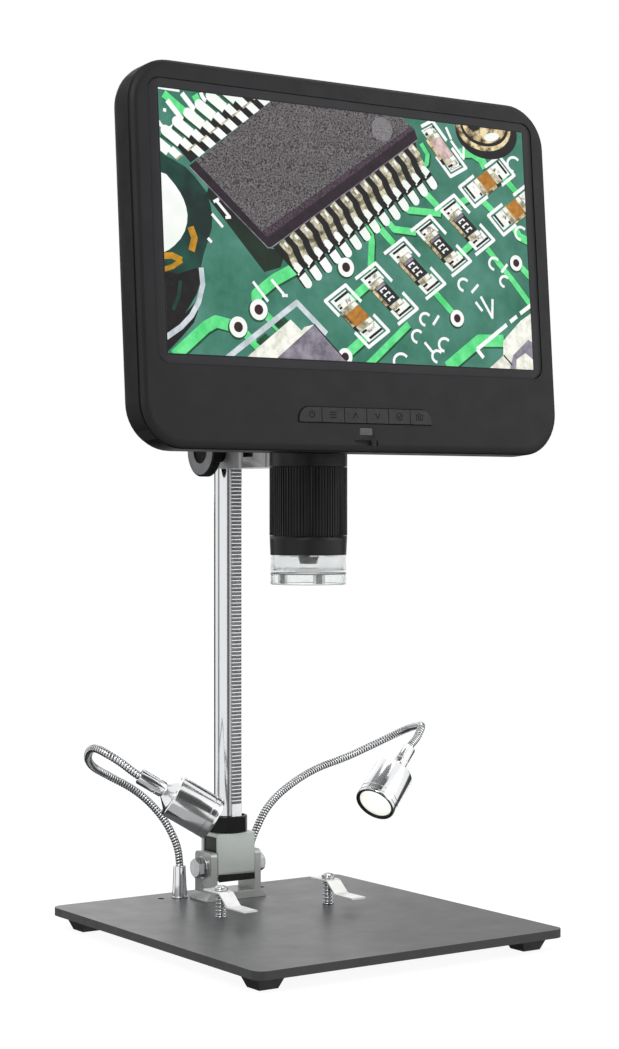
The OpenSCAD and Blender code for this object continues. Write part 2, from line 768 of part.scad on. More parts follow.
// Sleeve that runs on the column, arm to the camera and the pinion's chamber
module carriage_body() {
    color("#9a9d9a") difference() {
        union() {
            translate([0, column_y, carriage_z]) cylinder(r = sleeve_r, h = carriage_h);
            translate([-arm_w / 2, -camera_y, carriage_z]) cube([arm_w, column_y + camera_y, carriage_h]);
            for (sx = [-1, 1]) translate([sx * (arm_w / 2 - 0.8), ridge_y, carriage_z])
                cylinder(r = ridge_r, h = carriage_h);
        }
        translate([0, column_y, carriage_z - cut]) cylinder(r = column_r + run_gap, h = carriage_h + 2 * cut);
        translate([-rack_w / 2 - slip_gap, rack_front - slip_gap, carriage_z - cut])
            cube([rack_w + 2 * slip_gap, column_y - rack_front, carriage_h + 2 * cut]);
        translate([0, -camera_y, carriage_z - cut]) cylinder(r = barrel_r, h = carriage_h + 2 * cut);
        translate([0, pinion_y, pinion_z]) {
            rod_x(pinion_r + addendum + slip_gap, -pinion_w / 2 - slip_gap, pinion_w / 2 + slip_gap);
            rod_x(shaft_r + run_gap, -sleeve_r - cut, sleeve_r + cut);
        }
        for (sx = [-1, 1]) {
            translate([sx * arm_w / 2 - slot_t, slot_y, carriage_z + slot_up])
                cube([2 * slot_t, slot_l, slot_h]);
            translate([sx * arm_w / 2 - seam_t, seam_y, carriage_z - cut])
                cube([2 * seam_t, 0.7, carriage_h + 2 * cut]);
        }
        for (up = arm_screw_up)
            translate([0, -camera_y, carriage_z + up]) rotate([-90, 0, 0])
                cylinder(r = screw_r, h = screw_seat + arm_screw_reach + 0.5);
    }
}

module arm_screws() {
    color("#8c8f92") for (up = arm_screw_up)
        translate([0, -camera_y, carriage_z + up]) rotate([-90, 0, 0]) union() {
            translate([0, 0, screw_seat - screw_head_t]) cylinder(r = screw_head_r, h = screw_head_t);
            cylinder_between(screw_r, screw_seat - 0.1, screw_seat + arm_screw_reach);
        }
}

module cylinder_between(r, z0, z1) {
    translate([0, 0, z0]) cylinder(r = r, h = z1 - z0);
}

module camera_housing() {
    color("#262626") translate([0, -camera_y, 0]) difference() {
        translate([0, 0, housing_z]) cylinder(r = barrel_r, h = housing_top - housing_z);
        translate([0, 0, housing_z - cut]) cylinder(r = tube_r, h = housing_h + 2 * cut);
        for (up = arm_screw_up) translate([0, 0, carriage_z + up]) rotate([-90, 0, 0]) {
            cylinder_between(screw_head_r + 0.2, tube_r - 3, screw_seat);
            cylinder_between(screw_r, screw_seat - cut, barrel_r + cut);
        }
    }
}

// Lid of the camera with the fork that carries the display
module housing_cap() {
    color("#262626") difference() {
        union() {
            translate([0, -camera_y, housing_top]) cylinder(r = barrel_r, h = 3);
            translate([0, -camera_y, camera_board_z + board_t])
                cylinder(r = tube_r, h = housing_top - camera_board_z - board_t + 0.1);
            for (sx = [-1, 1]) {
                x0 = sx > 0 ? knuckle_w / 2 + 0.2 : -knuckle_w / 2 - 0.2 - ear2_t;
                translate([0, hinge_y, hinge_z]) rod_x(knuckle_r, x0, x0 + ear2_t);
                translate([x0, hinge_y - knuckle_r, housing_top + 2])
                    cube([ear2_t, 2 * knuckle_r, hinge_z - housing_top - 2]);
            }
        }
        translate([0, hinge_y, hinge_z])
            rod_x(pin_r, -knuckle_w / 2 - ear2_t - 2 * cut, knuckle_w / 2 + ear2_t + 2 * cut);
        translate([0, -camera_y, camera_board_z])
            cylinder(r = tube_r - 1.6, h = housing_top - camera_board_z - 1);
    }
}

module monitor_pin() {
    half = knuckle_w / 2 + 0.2 + ear2_t;
    color("#b5b8ba") translate([0, hinge_y, hinge_z]) union() {
        rod_x(pin_r, -half - 0.1, half + 0.1);
        rod_x(3.8, half, half + 1.4);
        rod_x(3.8, -half - 1.4, -half);
    }
}

module camera_board() {
    color("#1f5a34") translate([0, -camera_y, camera_board_z]) union() {
        cylinder(r = tube_r - 0.1, h = board_t);
        translate([-4.5, -4.5, -1.8]) cube([9, 9, 1.9]);
    }
}

// Inner tube that the focus ring turns on, and the plain ring below it
module lens_nose() {
    color("#2b2b2b") translate([0, -camera_y, 0]) difference() {
        union() {
            translate([0, 0, nose_z]) cylinder(r1 = barrel_r - 0.4, r2 = barrel_r - 0.05, h = nose_h);
            translate([0, 0, nose_z + 1]) cylinder(r = tube_r, h = carriage_z + 3 - nose_z - 1);
        }
        translate([0, 0, nose_z - cut]) cylinder(r = tube_r - tube_wall, h = carriage_z - nose_z + 10);
        translate([0, 0, nose_z - cut]) cylinder(r = tube_r + 0.6, h = step_h + cut);
    }
}

// Ring light: annular board with its light-emitting diodes on the lower side
module led_board() {
    color("#e8e8e0") translate([0, -camera_y, nose_z + step_h - board_t]) union() {
        difference() {
            cylinder(r = tube_r + 0.4, h = board_t);
            translate([0, 0, -cut]) cylinder(r = snout_r + 1.5, h = board_t + 2 * cut);
        }
        for (i = [0 : 7]) rotate(i * 45 + 22.5)
            translate([9.5, -1.5, -1.2]) cube([3, 3, 1.3]);
    }
}

module diffuser() {
    color("#eef0f0") translate([0, -camera_y, diffuser_z]) difference() {
        cylinder(r = hood_r, h = diffuser_h);
        translate([0, 0, 1.5]) cylinder(r = hood_r - hood_wall, h = diffuser_h);
        translate([0, 0, -cut]) cylinder(r = snout_r + 0.8, h = 3);
    }
}

module clear_rim() {
    color("#f4f6f6") translate([0, -camera_y, rim_z]) difference() {
        cylinder(r = hood_r, h = rim_h);
        translate([0, 0, -cut]) cylinder(r = hood_r - hood_wall, h = rim_h + 2 * cut);
    }
}

// ---------------------------------------------------------------- focus drive

// Involute angle in degrees at radius r over base radius b
function involute(r, b) = r <= b ? 0 : sqrt((r / b) * (r / b) - 1) * 180 / PI - acos(b / r);

// Outline of a spur gear with a tooth along +X
function gear_outline(teeth, pitch_r, outer_r, root_r, play) = let (
    base_r = pitch_r * cos(pressure),
    half = 90 / teeth - play / 2 / pitch_r * 180 / PI + involute(pitch_r, base_r),
    low_r = max(root_r, base_r),
    flank = [for (k = [0 : 3]) low_r + (outer_r - low_r) * k / 3])
    [for (i = [0 : teeth - 1]) let (mid = i * 360 / teeth) each concat(
        [root_r * [cos(mid - half), sin(mid - half)]],
        [for (r = flank) r * [cos(mid - half + involute(r, base_r)), sin(mid - half + involute(r, base_r))]],
        [for (k = [3 : -1 : 0]) let (r = flank[k])
            r * [cos(mid + half - involute(r, base_r)), sin(mid + half - involute(r, base_r))]],
        [root_r * [cos(mid + half), sin(mid + half)]])];

module pinion_shaft() {
    color("#b5b8ba") translate([0, pinion_y, pinion_z]) union() {
        rod_x(shaft_r, -knob_face_x + 1.4, sleeve_r + 3.4);
        translate([-pinion_w / 2, 0, 0]) rotate([90, 0, 90]) linear_extrude(pinion_w)
            polygon(gear_outline(pinion_teeth, pinion_r, pinion_r + addendum, pinion_r - dedendum, tooth_play));
    }
}

// Knob with a knurled rim, a dished face and a hub towards the carriage
module focus_knob() {
    knob_r = knob_d / 2;
    grips = 60;
    color("#4a4a4a") translate([0, pinion_y, pinion_z]) difference() {
        union() {
            translate([-knob_face_x + 0.6, 0, 0]) rotate([90, 0, 90]) linear_extrude(knob_t - 0.6)
                polygon([for (i = [0 : grips - 1]) for (k = [0 : 3])
                    let (a = 360 * (i + [0, 0.35, 0.5, 0.85][k]) / grips, r = knob_r - (k < 2 ? 0 : 0.25))
                    [r * cos(a), r * sin(a)]]);
            translate([-knob_face_x, 0, 0]) rotate([0, 90, 0])
                cylinder(r1 = knob_r - 0.9, r2 = knob_r - 0.3, h = 0.6);
            rod_x(5, -knob_face_x + knob_t - 0.1, -sleeve_r - slip_gap);
        }
        rod_x(knob_r * 0.49, -knob_face_x - cut, -knob_face_x + 0.8);
        rod_x(shaft_r, -knob_face_x + 1.4, 0);
    }
}

module shaft_collar() {
    color("#8c8f92") translate([0, pinion_y, pinion_z]) difference() {
        rod_x(4.5, sleeve_r + slip_gap, sleeve_r + slip_gap + 3);
        rod_x(shaft_r, 0, sleeve_r + 5);
    }
}

// Ring with straight ribs all round, which turns on the nose tube
module focus_ring() {
    color("#303030") translate([0, -camera_y, ring_z]) difference() {
        linear_extrude(ring_h) polygon([for (i = [0 : ring_ribs - 1]) for (k = [0 : 3])
            let (a = 360 * (i + [0, 0.5, 0.6, 0.9][k]) / ring_ribs, r = barrel_r - (k < 2 ? 0 : rib_depth))
            [r * cos(a), r * sin(a)]]);
        translate([0, 0, -cut]) cylinder(r = tube_r + run_gap, h = ring_h + 2 * cut);
    }
}

// Sliding lens cell with its snout, which the focus ring drives
module lens_carrier() {
    color("#1a1a1a") translate([0, -camera_y, 0]) difference() {
        union() {
            translate([0, 0, carrier_z]) cylinder(r = carrier_r, h = carrier_h);
            translate([0, 0, tip_z + 3]) cylinder(r = snout_r, h = carrier_z - tip_z - 2.9);
            translate([0, 0, tip_z]) cylinder(r1 = tip_r, r2 = snout_r, h = 3);
        }
        translate([0, 0, tip_z - cut]) cylinder(r = lens_r, h = carrier_z - tip_z + 4);
        translate([0, 0, carrier_z + 3]) cylinder(r = carrier_r - 2, h = carrier_h);
    }
}

module objective_lens() {
    color("#aab8c4") translate([0, -camera_y, tip_z + 0.8]) intersection() {
        cylinder(r = lens_r, h = 2.4);
        translate([0, 0, 7]) sphere(r = 7);
    }
}

// ---------------------------------------------------------------- display

// Disc of radius r whose edge follows the outline points [inset, height]
module coin(r, outline) {
    rotate_extrude($fn = 48) polygon(concat([[0, outline[0].y]], [for (p = outline) [r - p.x, p.y]],
        [[0, outline[len(outline) - 1].y]]));
}

// Slab with round corners between four coins
module slab(w, top, low, r, outline) {
    hull() for (sx = [-1, 1], y = [top - r, -low + r])
        translate([sx * (w / 2 - r), y, 0]) coin(r, outline);
}

// Rectangle with round corners as a prism from n0 to n1
module tablet(half_w, top, low, r, n0, n1) {
    translate([0, (top - low) / 2, n0]) rounded_plate(2 * half_w, top + low, n1 - n0, r);
}

// Row of four screw posts below the screen
module at_bosses() {
    for (x = boss_x) translate([x, -boss_down, 0]) children();
}

// Prism of w by h whose upper corner is round on the side given by turn: -1 left, 1 right, 0 both
module key_prism(w, h, r, turn, n0, n1) {
    x0 = turn > 0 ? -w / 2 : -w / 2 + r;
    flat = turn == 0 ? w - 2 * r : w - r;
    sides = turn == 0 ? [-1, 1] : [turn];
    translate([-w / 2, -h / 2, n0]) cube([w, h - r, n1 - n0]);
    translate([x0, -h / 2, n0]) cube([flat, h, n1 - n0]);
    for (sx = sides) intersection() {
        translate([sx * (w / 2 - r), h / 2 - r, 0]) cylinder_between(r, n0, n1);
        translate([-w / 2, -h / 2, n0]) cube([w, h, n1 - n0]);
    }
}

module button_slot() {
    translate([button_mid, -button_down, 0])
        key_prism(button_slot_w, button_h + 2 * slip_gap, button_corner + slip_gap, 0, -bezel_t - cut, cut);
}

module front_bezel() {
    edge = [for (a = [0 : 15 : 90]) [front_edge_r * (1 - cos(a)), -front_edge_r * (1 - sin(a))]];
    rise = front_edge_r - bezel_t;
    seam = front_edge_r - sqrt(front_edge_r * front_edge_r - rise * rise);
    kept = [for (p = edge) if (p.y > -bezel_t) p];
    color("#343436") on_display() difference() {
        union() {
            slab(display_w, display_up, display_down, display_r, concat([[seam, -bezel_t]], kept));
            at_bosses() cylinder_between(boss_r, -boss_back, -bezel_t + 0.1);
            for (sx = [-1, 1]) translate([button_mid + sx * key_post_x, -button_down, 0])
                cylinder_between(key_post_r, key_board_n + key_board_t, -bezel_t + 0.1);
        }
        tablet(screen_half_w, screen_half_h, screen_half_h, screen_r, -bezel_t - cut, cut);
        button_slot();
        translate([ir_x - ir_w / 2, -ir_down - ir_h / 2, -bezel_t - cut]) cube([ir_w, ir_h, bezel_t + 2 * cut]);
        at_bosses() cylinder_between(shank_r, -boss_back - cut, -bezel_t - 1);
        translate([ir_x - card_slot_w + 2.35, -display_down + 2.6, -1.2]) cube([card_slot_w, 2.2, 2]);
        translate([ir_x + 5, -display_down + 2.5, -1.2]) cube([0.7, 2.4, 2]);
    }
}

module screen_panel() {
    lip_w = screen_half_w + panel_rim;
    lip_h = screen_half_h + panel_rim;
    module_w = picture_half_w + panel_rim;
    module_h = picture_half_h + panel_rim;
    color("#101012") on_display() union() {
        tablet(screen_half_w - side_gap, screen_half_h - side_gap, screen_half_h - side_gap,
            screen_r - side_gap, -bezel_t - 0.1, -glass_back);
        tablet(lip_w, lip_h, lip_h, lip_r, -bezel_t - panel_lip, -bezel_t);
        translate([-module_w, -module_h, -bezel_t - panel_t]) cube([2 * module_w, 2 * module_h, panel_t]);
    }
}

// Shell with a wide round back edge, vents, bosses and the sockets' recesses
module rear_cover() {
    arc = [for (a = [0 : 15 : 90]) [cover_edge_r * (1 - cos(a)),
        -display_t + cover_edge_r * (1 - sin(a))]];
    inner_r = cover_edge_r - cover_wall;
    inner_arc = [for (a = [0 : 15 : 90]) [inner_r * (1 - cos(a)),
        -display_t + cover_wall + inner_r * (1 - sin(a))]];
    outer = [for (i = [len(arc) - 1 : -1 : 0]) arc[i]];
    inner = [for (i = [len(inner_arc) - 1 : -1 : 0]) inner_arc[i]];
    color("#2c2c2e") on_display() difference() {
        union() {
            difference() {
                slab(display_w, display_up, display_down, display_r, concat(outer, [[0, -bezel_t]]));
                slab(display_w - 2 * cover_wall, display_up - cover_wall, display_down - cover_wall,
                    display_r - cover_wall, concat(inner, [[0, 0]]));
            }
            for (sx = [-1, 1], sy = [-1, 1]) translate([sx * standoff_x, sy * standoff_y, 0])
                cylinder_between(standoff_r, -display_t + 1, main_board_n);
            hinge_screw_places() cylinder_between(boss_r, -display_t + 1, hinge_boss_n);
        }
        at_bosses() cylinder_between(screw_r + 0.1, -display_t - cut, -display_t + 8);
        hinge_screw_places() cylinder_between(shank_r, -display_t - cut, hinge_boss_n - 1);
        for (sx = [-1, 1], i = [0 : vent_count - 1])
            translate([sx * vent_x + (i - vent_count / 2) * vent_pitch, vent_low, -display_t - cut])
                cube([vent_w, vent_h, cover_wall + 2 * cut]);
        for (p = port_places)
            translate([display_w / 2 - 1.4, p.x - p.y / 2, port_n - p.z / 2]) cube([2, p.y, p.z]);
        translate([0, socket_up, port_n])
            rod_x(socket_out_r, display_w / 2 - cover_wall - cut, display_w / 2 + cut);
    }
}

module hinge_screw_places() {
    for (sx = [-1, 1], dy = hinge_screw_y)
        translate([sx * hinge_screw_x, -hinge_down + dy, 0]) children();
}

// Round socket in the right side for the supply's plug, with its centre pin
module power_socket() {
    x1 = display_w / 2 - 0.2;
    color("#1a1a1a") on_display() translate([0, socket_up, port_n]) difference() {
        union() {
            rod_x(socket_out_r, x1 - socket_l + 1, x1);
            translate([x1 - socket_l - 0.5, -5, -4]) cube([socket_l - 1.7, 10, 8]);
        }
        difference() {
            rod_x(socket_r, x1 - socket_l + 1, x1 + cut);
            rod_x(1, x1 - socket_l, x1 - 1);
        }
    }
}

module main_board() {
    color("#1f5a34") on_display() translate([0, 0, main_board_n]) union() {
        translate([-main_board_w / 2, -main_board_h / 2, 0]) cube([main_board_w, main_board_h, board_t]);
        translate([-0.6 * chip, -0.4 * chip, board_t - 0.1]) cube([chip, chip, 1.5]);
        translate([0.9 * chip, -0.3 * chip, board_t - 0.1]) cube([0.5 * chip, 0.7 * chip, 1.2]);
        translate([-2 * chip, 0.4 * chip, board_t - 0.1]) cube([0.7 * chip, 0.5 * chip, 1.2]);
    }
}

module key_board() {
    color("#1f5a34") on_display() union() {
        translate([button_mid - key_board_w / 2, -button_down - key_board_h / 2, key_board_n])
            cube([key_board_w, key_board_h, key_board_t]);
        for (i = [0 : 5])
            translate([button_at(i) - switch_w / 2, -button_down - switch_w / 2,
                key_board_n + key_board_t - 0.1])
                cube([switch_w, switch_w, switch_t + 0.1]);
    }
}

module ir_window() {
    color("#5a4e58") on_display() translate([ir_x, -ir_down, 0]) union() {
        translate([-ir_w / 2 + run_gap, -ir_h / 2 + run_gap, -bezel_t - 0.1])
            cube([ir_w - 2 * run_gap, ir_h - 2 * run_gap, bezel_t - 0.1]);
        translate([-ir_w / 2 - 0.6, -ir_h / 2 - 0.3, -bezel_t - 0.8]) cube([ir_w + 1.2, ir_h + 0.6, 0.8]);
    }
}

// Plate on the rear cover with the knuckle that sits in the camera's fork
module monitor_hinge() {
    color("#55585a") on_display() difference() {
        union() {
            translate([-hinge_plate_w / 2, -hinge_down - hinge_plate_low, -display_t - hinge_plate_t])
                cube([hinge_plate_w, hinge_plate_h, hinge_plate_t]);
            translate([0, -hinge_down, hinge_n]) rod_x(knuckle_r, -knuckle_w / 2, knuckle_w / 2);
            translate([-knuckle_w / 2, -hinge_down - knuckle_r, hinge_n])
                cube([knuckle_w, 2 * knuckle_r, hinge_back - 0.5]);
        }
        translate([0, -hinge_down, hinge_n]) rod_x(pin_r + run_gap, -knuckle_w, knuckle_w);
        hinge_screw_places() cylinder_between(screw_r, -display_t - hinge_plate_t - cut, -display_t + cut);
    }
}

// Pan-head screws: four close the case and four hold the hinge plate
module pan_screw(seat, length) {
    difference() {
        union() {
            cylinder_between(screw_head_r, seat - screw_head_t, seat);
            cylinder_between(shank_r, seat - 0.1, seat + length);
        }
        for (a = [0, 90]) rotate(a) translate([-1.4, -0.3, seat - screw_head_t - 1.2]) cube([2.8, 0.6, 2]);
    }
}

module rear_screws() {
    color("#3a3a3c") on_display() {
        at_bosses() pan_screw(-display_t, 5);
        hinge_screw_places() pan_screw(-display_t - hinge_plate_t, 6.5);
    }
}

// ---------------------------------------------------------------- buttons

function button_at(i) = button_mid + (i - 2.5) * button_pitch;

// One key: cap, collar behind the bezel and stem; the outer ones have a round corner
module button(i) {
    w = button_w;
    h = button_h;
    r = button_corner;
    turn = i == 5 ? 1 : -1;
    deep = -bezel_t - 0.1;
    color("#3a3a3c") on_display() translate([button_at(i), -button_down, 0]) union() {
        if (i == 0 || i == 5) {
            key_prism(w, h, r, turn, deep - 0.1, button_proud);
        } else {
            translate([-w / 2, -h / 2, deep - 0.1]) cube([w, h, button_proud - deep + 0.1]);
        }
        translate([-w / 2, -h / 2 - 1, deep - 0.9]) cube([w, h + 2, 0.9]);
        cylinder_between(1.5, -button_stem, deep);
    }
}

// ---------------------------------------------------------------- clips

// Strip with two bends: flat under the screw, a slope, and the flat end that presses
module clip_strip(x) {
    z0 = clip_top;
    y1 = -clip_bend_y;
    y2 = -clip_bend_y - clip_slope_y;
    y3 = y2 - clip_tip;
    color("#d0d3d5") difference() {
        translate([x - clip_w / 2, clip_y, 0]) rotate([90, 0, 90]) linear_extrude(clip_w) polygon([
            [clip_back, z0], [y1, z0], [y2, z0 - clip_drop], [y3, z0 - clip_drop],
            [y3, z0 - clip_drop - clip_t], [y2 - 0.4, z0 - clip_drop - clip_t], [y1 - 0.4, z0 - clip_t],
            [clip_back, z0 - clip_t]
        ]);
        translate([x, clip_y, clip_top - clip_t - cut]) cylinder(r = clip_screw_r + 0.2, h = clip_t + 2 * cut);
    }
}

module clip_strip_left() { clip_strip(-clip_x); }
module clip_strip_right() { clip_strip(clip_x); }

// Coil spring between the plate and the strip
module clip_spring(x) {
    r = (spring_d - spring_wire) / 2;
    h = clip_h - clip_t - spring_wire;
    steps = 12;
    n = spring_turns * steps;
    helix = [for (i = [-1 : n + 1]) [x + r * cos(360 * i / steps), clip_y + r * sin(360 * i / steps),
        plate_top + spring_wire / 2 + h * min(max((i - steps) / (n - 2 * steps), 0), 1)]];
    m = measured(helix);
    t = [track(m, 0), track(m, 1), track(m, 2)];
    color("#c0c3c5") swept(t, [for (i = [1 : n + 1]) m[i][0]], [for (i = [1 : n + 1]) spring_wire / 2 - 0.01],
        5, [0, 0, 1]);
}

module clip_spring_left() { clip_spring(-clip_x); }
module clip_spring_right() { clip_spring(clip_x); }

// ---------------------------------------------------------------- lamps

module neck_left_lower() {
    color("#c4c7ca") winding(left_track, 0, neck_in + split_at, neck_in, true);
}
module neck_left_upper() {
    color("#c4c7ca") winding(left_track, neck_in + split_at + neck_r + joint_gap,
        left_track[3], 0, true);
}
module neck_right_lower() {
    color("#c4c7ca") winding(right_track, 0, neck_in + split_at, neck_in, true);
}
module neck_right_upper() {
    color("#c4c7ca") winding(right_track, neck_in + split_at + neck_r + joint_gap,
        right_track[3], 0, true);
}

// Sleeve, cone and cylinder in one turned piece, open at the front
module lamp_shell(pivot, aim) {
    start = neck_r + joint_gap;
    z1 = start + sleeve_l;
    z2 = z1 + cone_l;
    z3 = z2 + head_l;
    r = head_d / 2;
    color("#cfd2d4") aimed(pivot, -aim) rotate_extrude() polygon([
        [0, start], [sleeve_d / 2 - 0.3, start], [sleeve_d / 2, start + 0.6], [sleeve_d / 2, z1 - 0.4],
        [sleeve_d / 2 - 0.4, z1], [r - 2.2, z2 - 0.3], [r - 0.5, z2], [r, z2 + 0.6], [r, z3 - 4.2],
        [r - 0.25, z3 - 4], [r, z3 - 3.8], [r, z3 - 1.6], [r - 0.25, z3 - 1.4], [r, z3 - 1.2],
        [r, z3 - 0.4], [r - 0.4, z3], [r - 1.4, z3], [r - 1.4, z2 + 3], [2, z2 + 3], [2, z2], [0, z2]
    ]);
}

// Lens disc at the mouth and the diode module behind it
module lamp_optic(pivot, aim) {
    z2 = neck_r + joint_gap + sleeve_l + cone_l;
    z3 = z2 + head_l;
    r = head_d / 2 - 1.4;
    color("#f2f2ee") aimed(pivot, -aim) union() {
        translate([0, 0, z3 - 2.6]) cylinder(r = r, h = 2.2);
        translate([0, 0, z2 + 3]) cylinder(r = r - 1, h = 3);
        translate([0, 0, z2 + 5.9]) cylinder(r = 2.4, h = head_l - 8.3);
    }
}

module lamp_left_shell() { lamp_shell(left_head, left_aim); }
module lamp_left_optic() { lamp_optic(left_head, left_aim); }
module lamp_right_shell() { lamp_shell(right_head, right_aim); }
module lamp_right_optic() { lamp_optic(right_head, right_aim); }

// ---------------------------------------------------------------- the parts

base_plate();
rubber_feet();
bracket();
bracket_screws();
hinge_bolt();
hinge_washers();
hinge_nut();
lamp_post_left();
lamp_post_right();
post_nuts();
clip_screws();
hinge_block();
block_core();
lock_nut();
column_tube();
rack();
column_cap();
carriage_body();
arm_screws();
camera_housing();
housing_cap();
monitor_pin();
camera_board();
lens_nose();
led_board();
diffuser();
clear_rim();
focus_knob();
pinion_shaft();
shaft_collar();
focus_ring();
lens_carrier();
objective_lens();
front_bezel();
screen_panel();
rear_cover();
main_board();
key_board();
ir_window();
monitor_hinge();
rear_screws();
power_socket();
button(0);  // button_power
button(1);  // button_menu
button(2);  // button_up
button(3);  // button_down_key
button(4);  // button_ok
button(5);  // button_camera
clip_strip_left();
clip_strip_right();
clip_spring_left();
clip_spring_right();
neck_left_lower();
neck_left_upper();
lamp_left_shell();
lamp_left_optic();
neck_right_lower();
neck_right_upper();
lamp_right_shell();
lamp_right_optic();
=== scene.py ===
"""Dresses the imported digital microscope: materials, turned and wound pieces, screen picture, studio."""
import bpy
import bmesh
import json
import math
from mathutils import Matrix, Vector


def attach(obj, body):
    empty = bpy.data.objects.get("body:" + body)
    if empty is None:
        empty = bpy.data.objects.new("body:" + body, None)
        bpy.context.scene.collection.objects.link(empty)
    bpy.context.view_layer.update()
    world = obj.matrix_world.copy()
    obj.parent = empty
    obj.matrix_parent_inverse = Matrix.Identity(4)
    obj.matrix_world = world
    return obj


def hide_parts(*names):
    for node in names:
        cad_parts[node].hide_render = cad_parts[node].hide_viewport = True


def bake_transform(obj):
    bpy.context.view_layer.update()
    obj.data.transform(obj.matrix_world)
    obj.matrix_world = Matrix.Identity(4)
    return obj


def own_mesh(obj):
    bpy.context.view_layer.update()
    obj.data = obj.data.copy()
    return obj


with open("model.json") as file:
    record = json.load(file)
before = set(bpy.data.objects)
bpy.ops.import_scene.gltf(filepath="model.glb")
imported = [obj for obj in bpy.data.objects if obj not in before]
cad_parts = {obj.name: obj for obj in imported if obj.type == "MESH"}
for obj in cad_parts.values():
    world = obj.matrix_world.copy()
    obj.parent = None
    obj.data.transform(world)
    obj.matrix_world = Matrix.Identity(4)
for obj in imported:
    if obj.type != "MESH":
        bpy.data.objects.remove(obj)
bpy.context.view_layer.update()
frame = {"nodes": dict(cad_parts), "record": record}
NODES = frame["nodes"]
MM = 0.001
PI = math.pi


# ---------------- materials

NOISE_LOW, NOISE_HIGH = 0.3, 0.7     # nearly all of the noise lies between these
ROUGHNESS_FINER = 2.3                # its noise is this much finer than the colour's
RELIEF_DEPTH = 0.02 * MM


def rgb(code):
    """Linear colour of an sRGB hex code."""
    out = []
    for k in (1, 3, 5):
        v = int(code[k:k + 2], 16) / 255
        out.append(v / 12.92 if v <= 0.04045 else ((v + 0.055) / 1.055) ** 2.4)
    return out


def add(tree, kind, **values):
    """New shader node; the values are for its inputs, with _ for a space."""
    n = tree.nodes.new(kind)
    for key, value in values.items():
        n.inputs[key.replace("_", " ")].default_value = value
    return n


def new_material(name, empty=False):
    m = bpy.data.materials.new(name)
    m.use_nodes = True
    if empty:
        m.node_tree.nodes.clear()
    return m, m.node_tree


def noise(tree, vector, scale, detail=3, rough=0.55):
    n = add(tree, "ShaderNodeTexNoise", Scale=scale, Detail=detail, Roughness=rough)
    tree.links.new(vector, n.inputs["Vector"])
    return n.outputs["Fac"]


def ramp(tree, fac, stops):
    n = add(tree, "ShaderNodeValToRGB")
    for e, (at, col) in zip(n.color_ramp.elements, stops):
        e.position = at
        e.color = (*col, 1)
    tree.links.new(fac, n.inputs["Fac"])
    return n.outputs["Color"]


def spread(tree, fac, low, high):
    n = add(tree, "ShaderNodeMapRange", From_Min=NOISE_LOW, From_Max=NOISE_HIGH, To_Min=low, To_Max=high)
    tree.links.new(fac, n.inputs["Value"])
    return n.outputs["Result"]


def surface(name, light, dark, rough, metal=0.0, scale=60, stretch=(1, 1, 1), grain=2600,
            bump=0.1, level=0.5, coat=0.0, coat_rough=0.1, glow=0.0, pass_light=0.0, ior=1.5):
    """Principled material whose colour, roughness and relief come from noise in the object's own space."""
    m, t = new_material(name)
    p = t.nodes["Principled BSDF"]
    where = add(t, "ShaderNodeTexCoord")
    place = add(t, "ShaderNodeMapping", Scale=stretch)
    t.links.new(where.outputs["Object"], place.inputs["Vector"])
    v = place.outputs["Vector"]
    col = ramp(t, noise(t, v, scale), [(NOISE_LOW, rgb(dark)), (NOISE_HIGH, rgb(light))])
    t.links.new(col, p.inputs["Base Color"])
    t.links.new(spread(t, noise(t, v, scale * ROUGHNESS_FINER, 4), *rough), p.inputs["Roughness"])
    for key, value in {"Metallic": metal, "Specular IOR Level": level, "IOR": ior, "Coat Weight": coat,
                       "Coat Roughness": coat_rough, "Transmission Weight": pass_light}.items():
        p.inputs[key].default_value = value
    if glow:
        t.links.new(col, p.inputs["Emission Color"])
        p.inputs["Emission Strength"].default_value = glow
    b = add(t, "ShaderNodeBump", Strength=bump, Distance=RELIEF_DEPTH)
    t.links.new(noise(t, v, grain, 2), b.inputs["Height"])
    t.links.new(b.outputs["Normal"], p.inputs["Normal"])
    return m


CASE = dict(scale=45, grain=6500, bump=0.16)
SMALL = dict(scale=220, grain=2000)
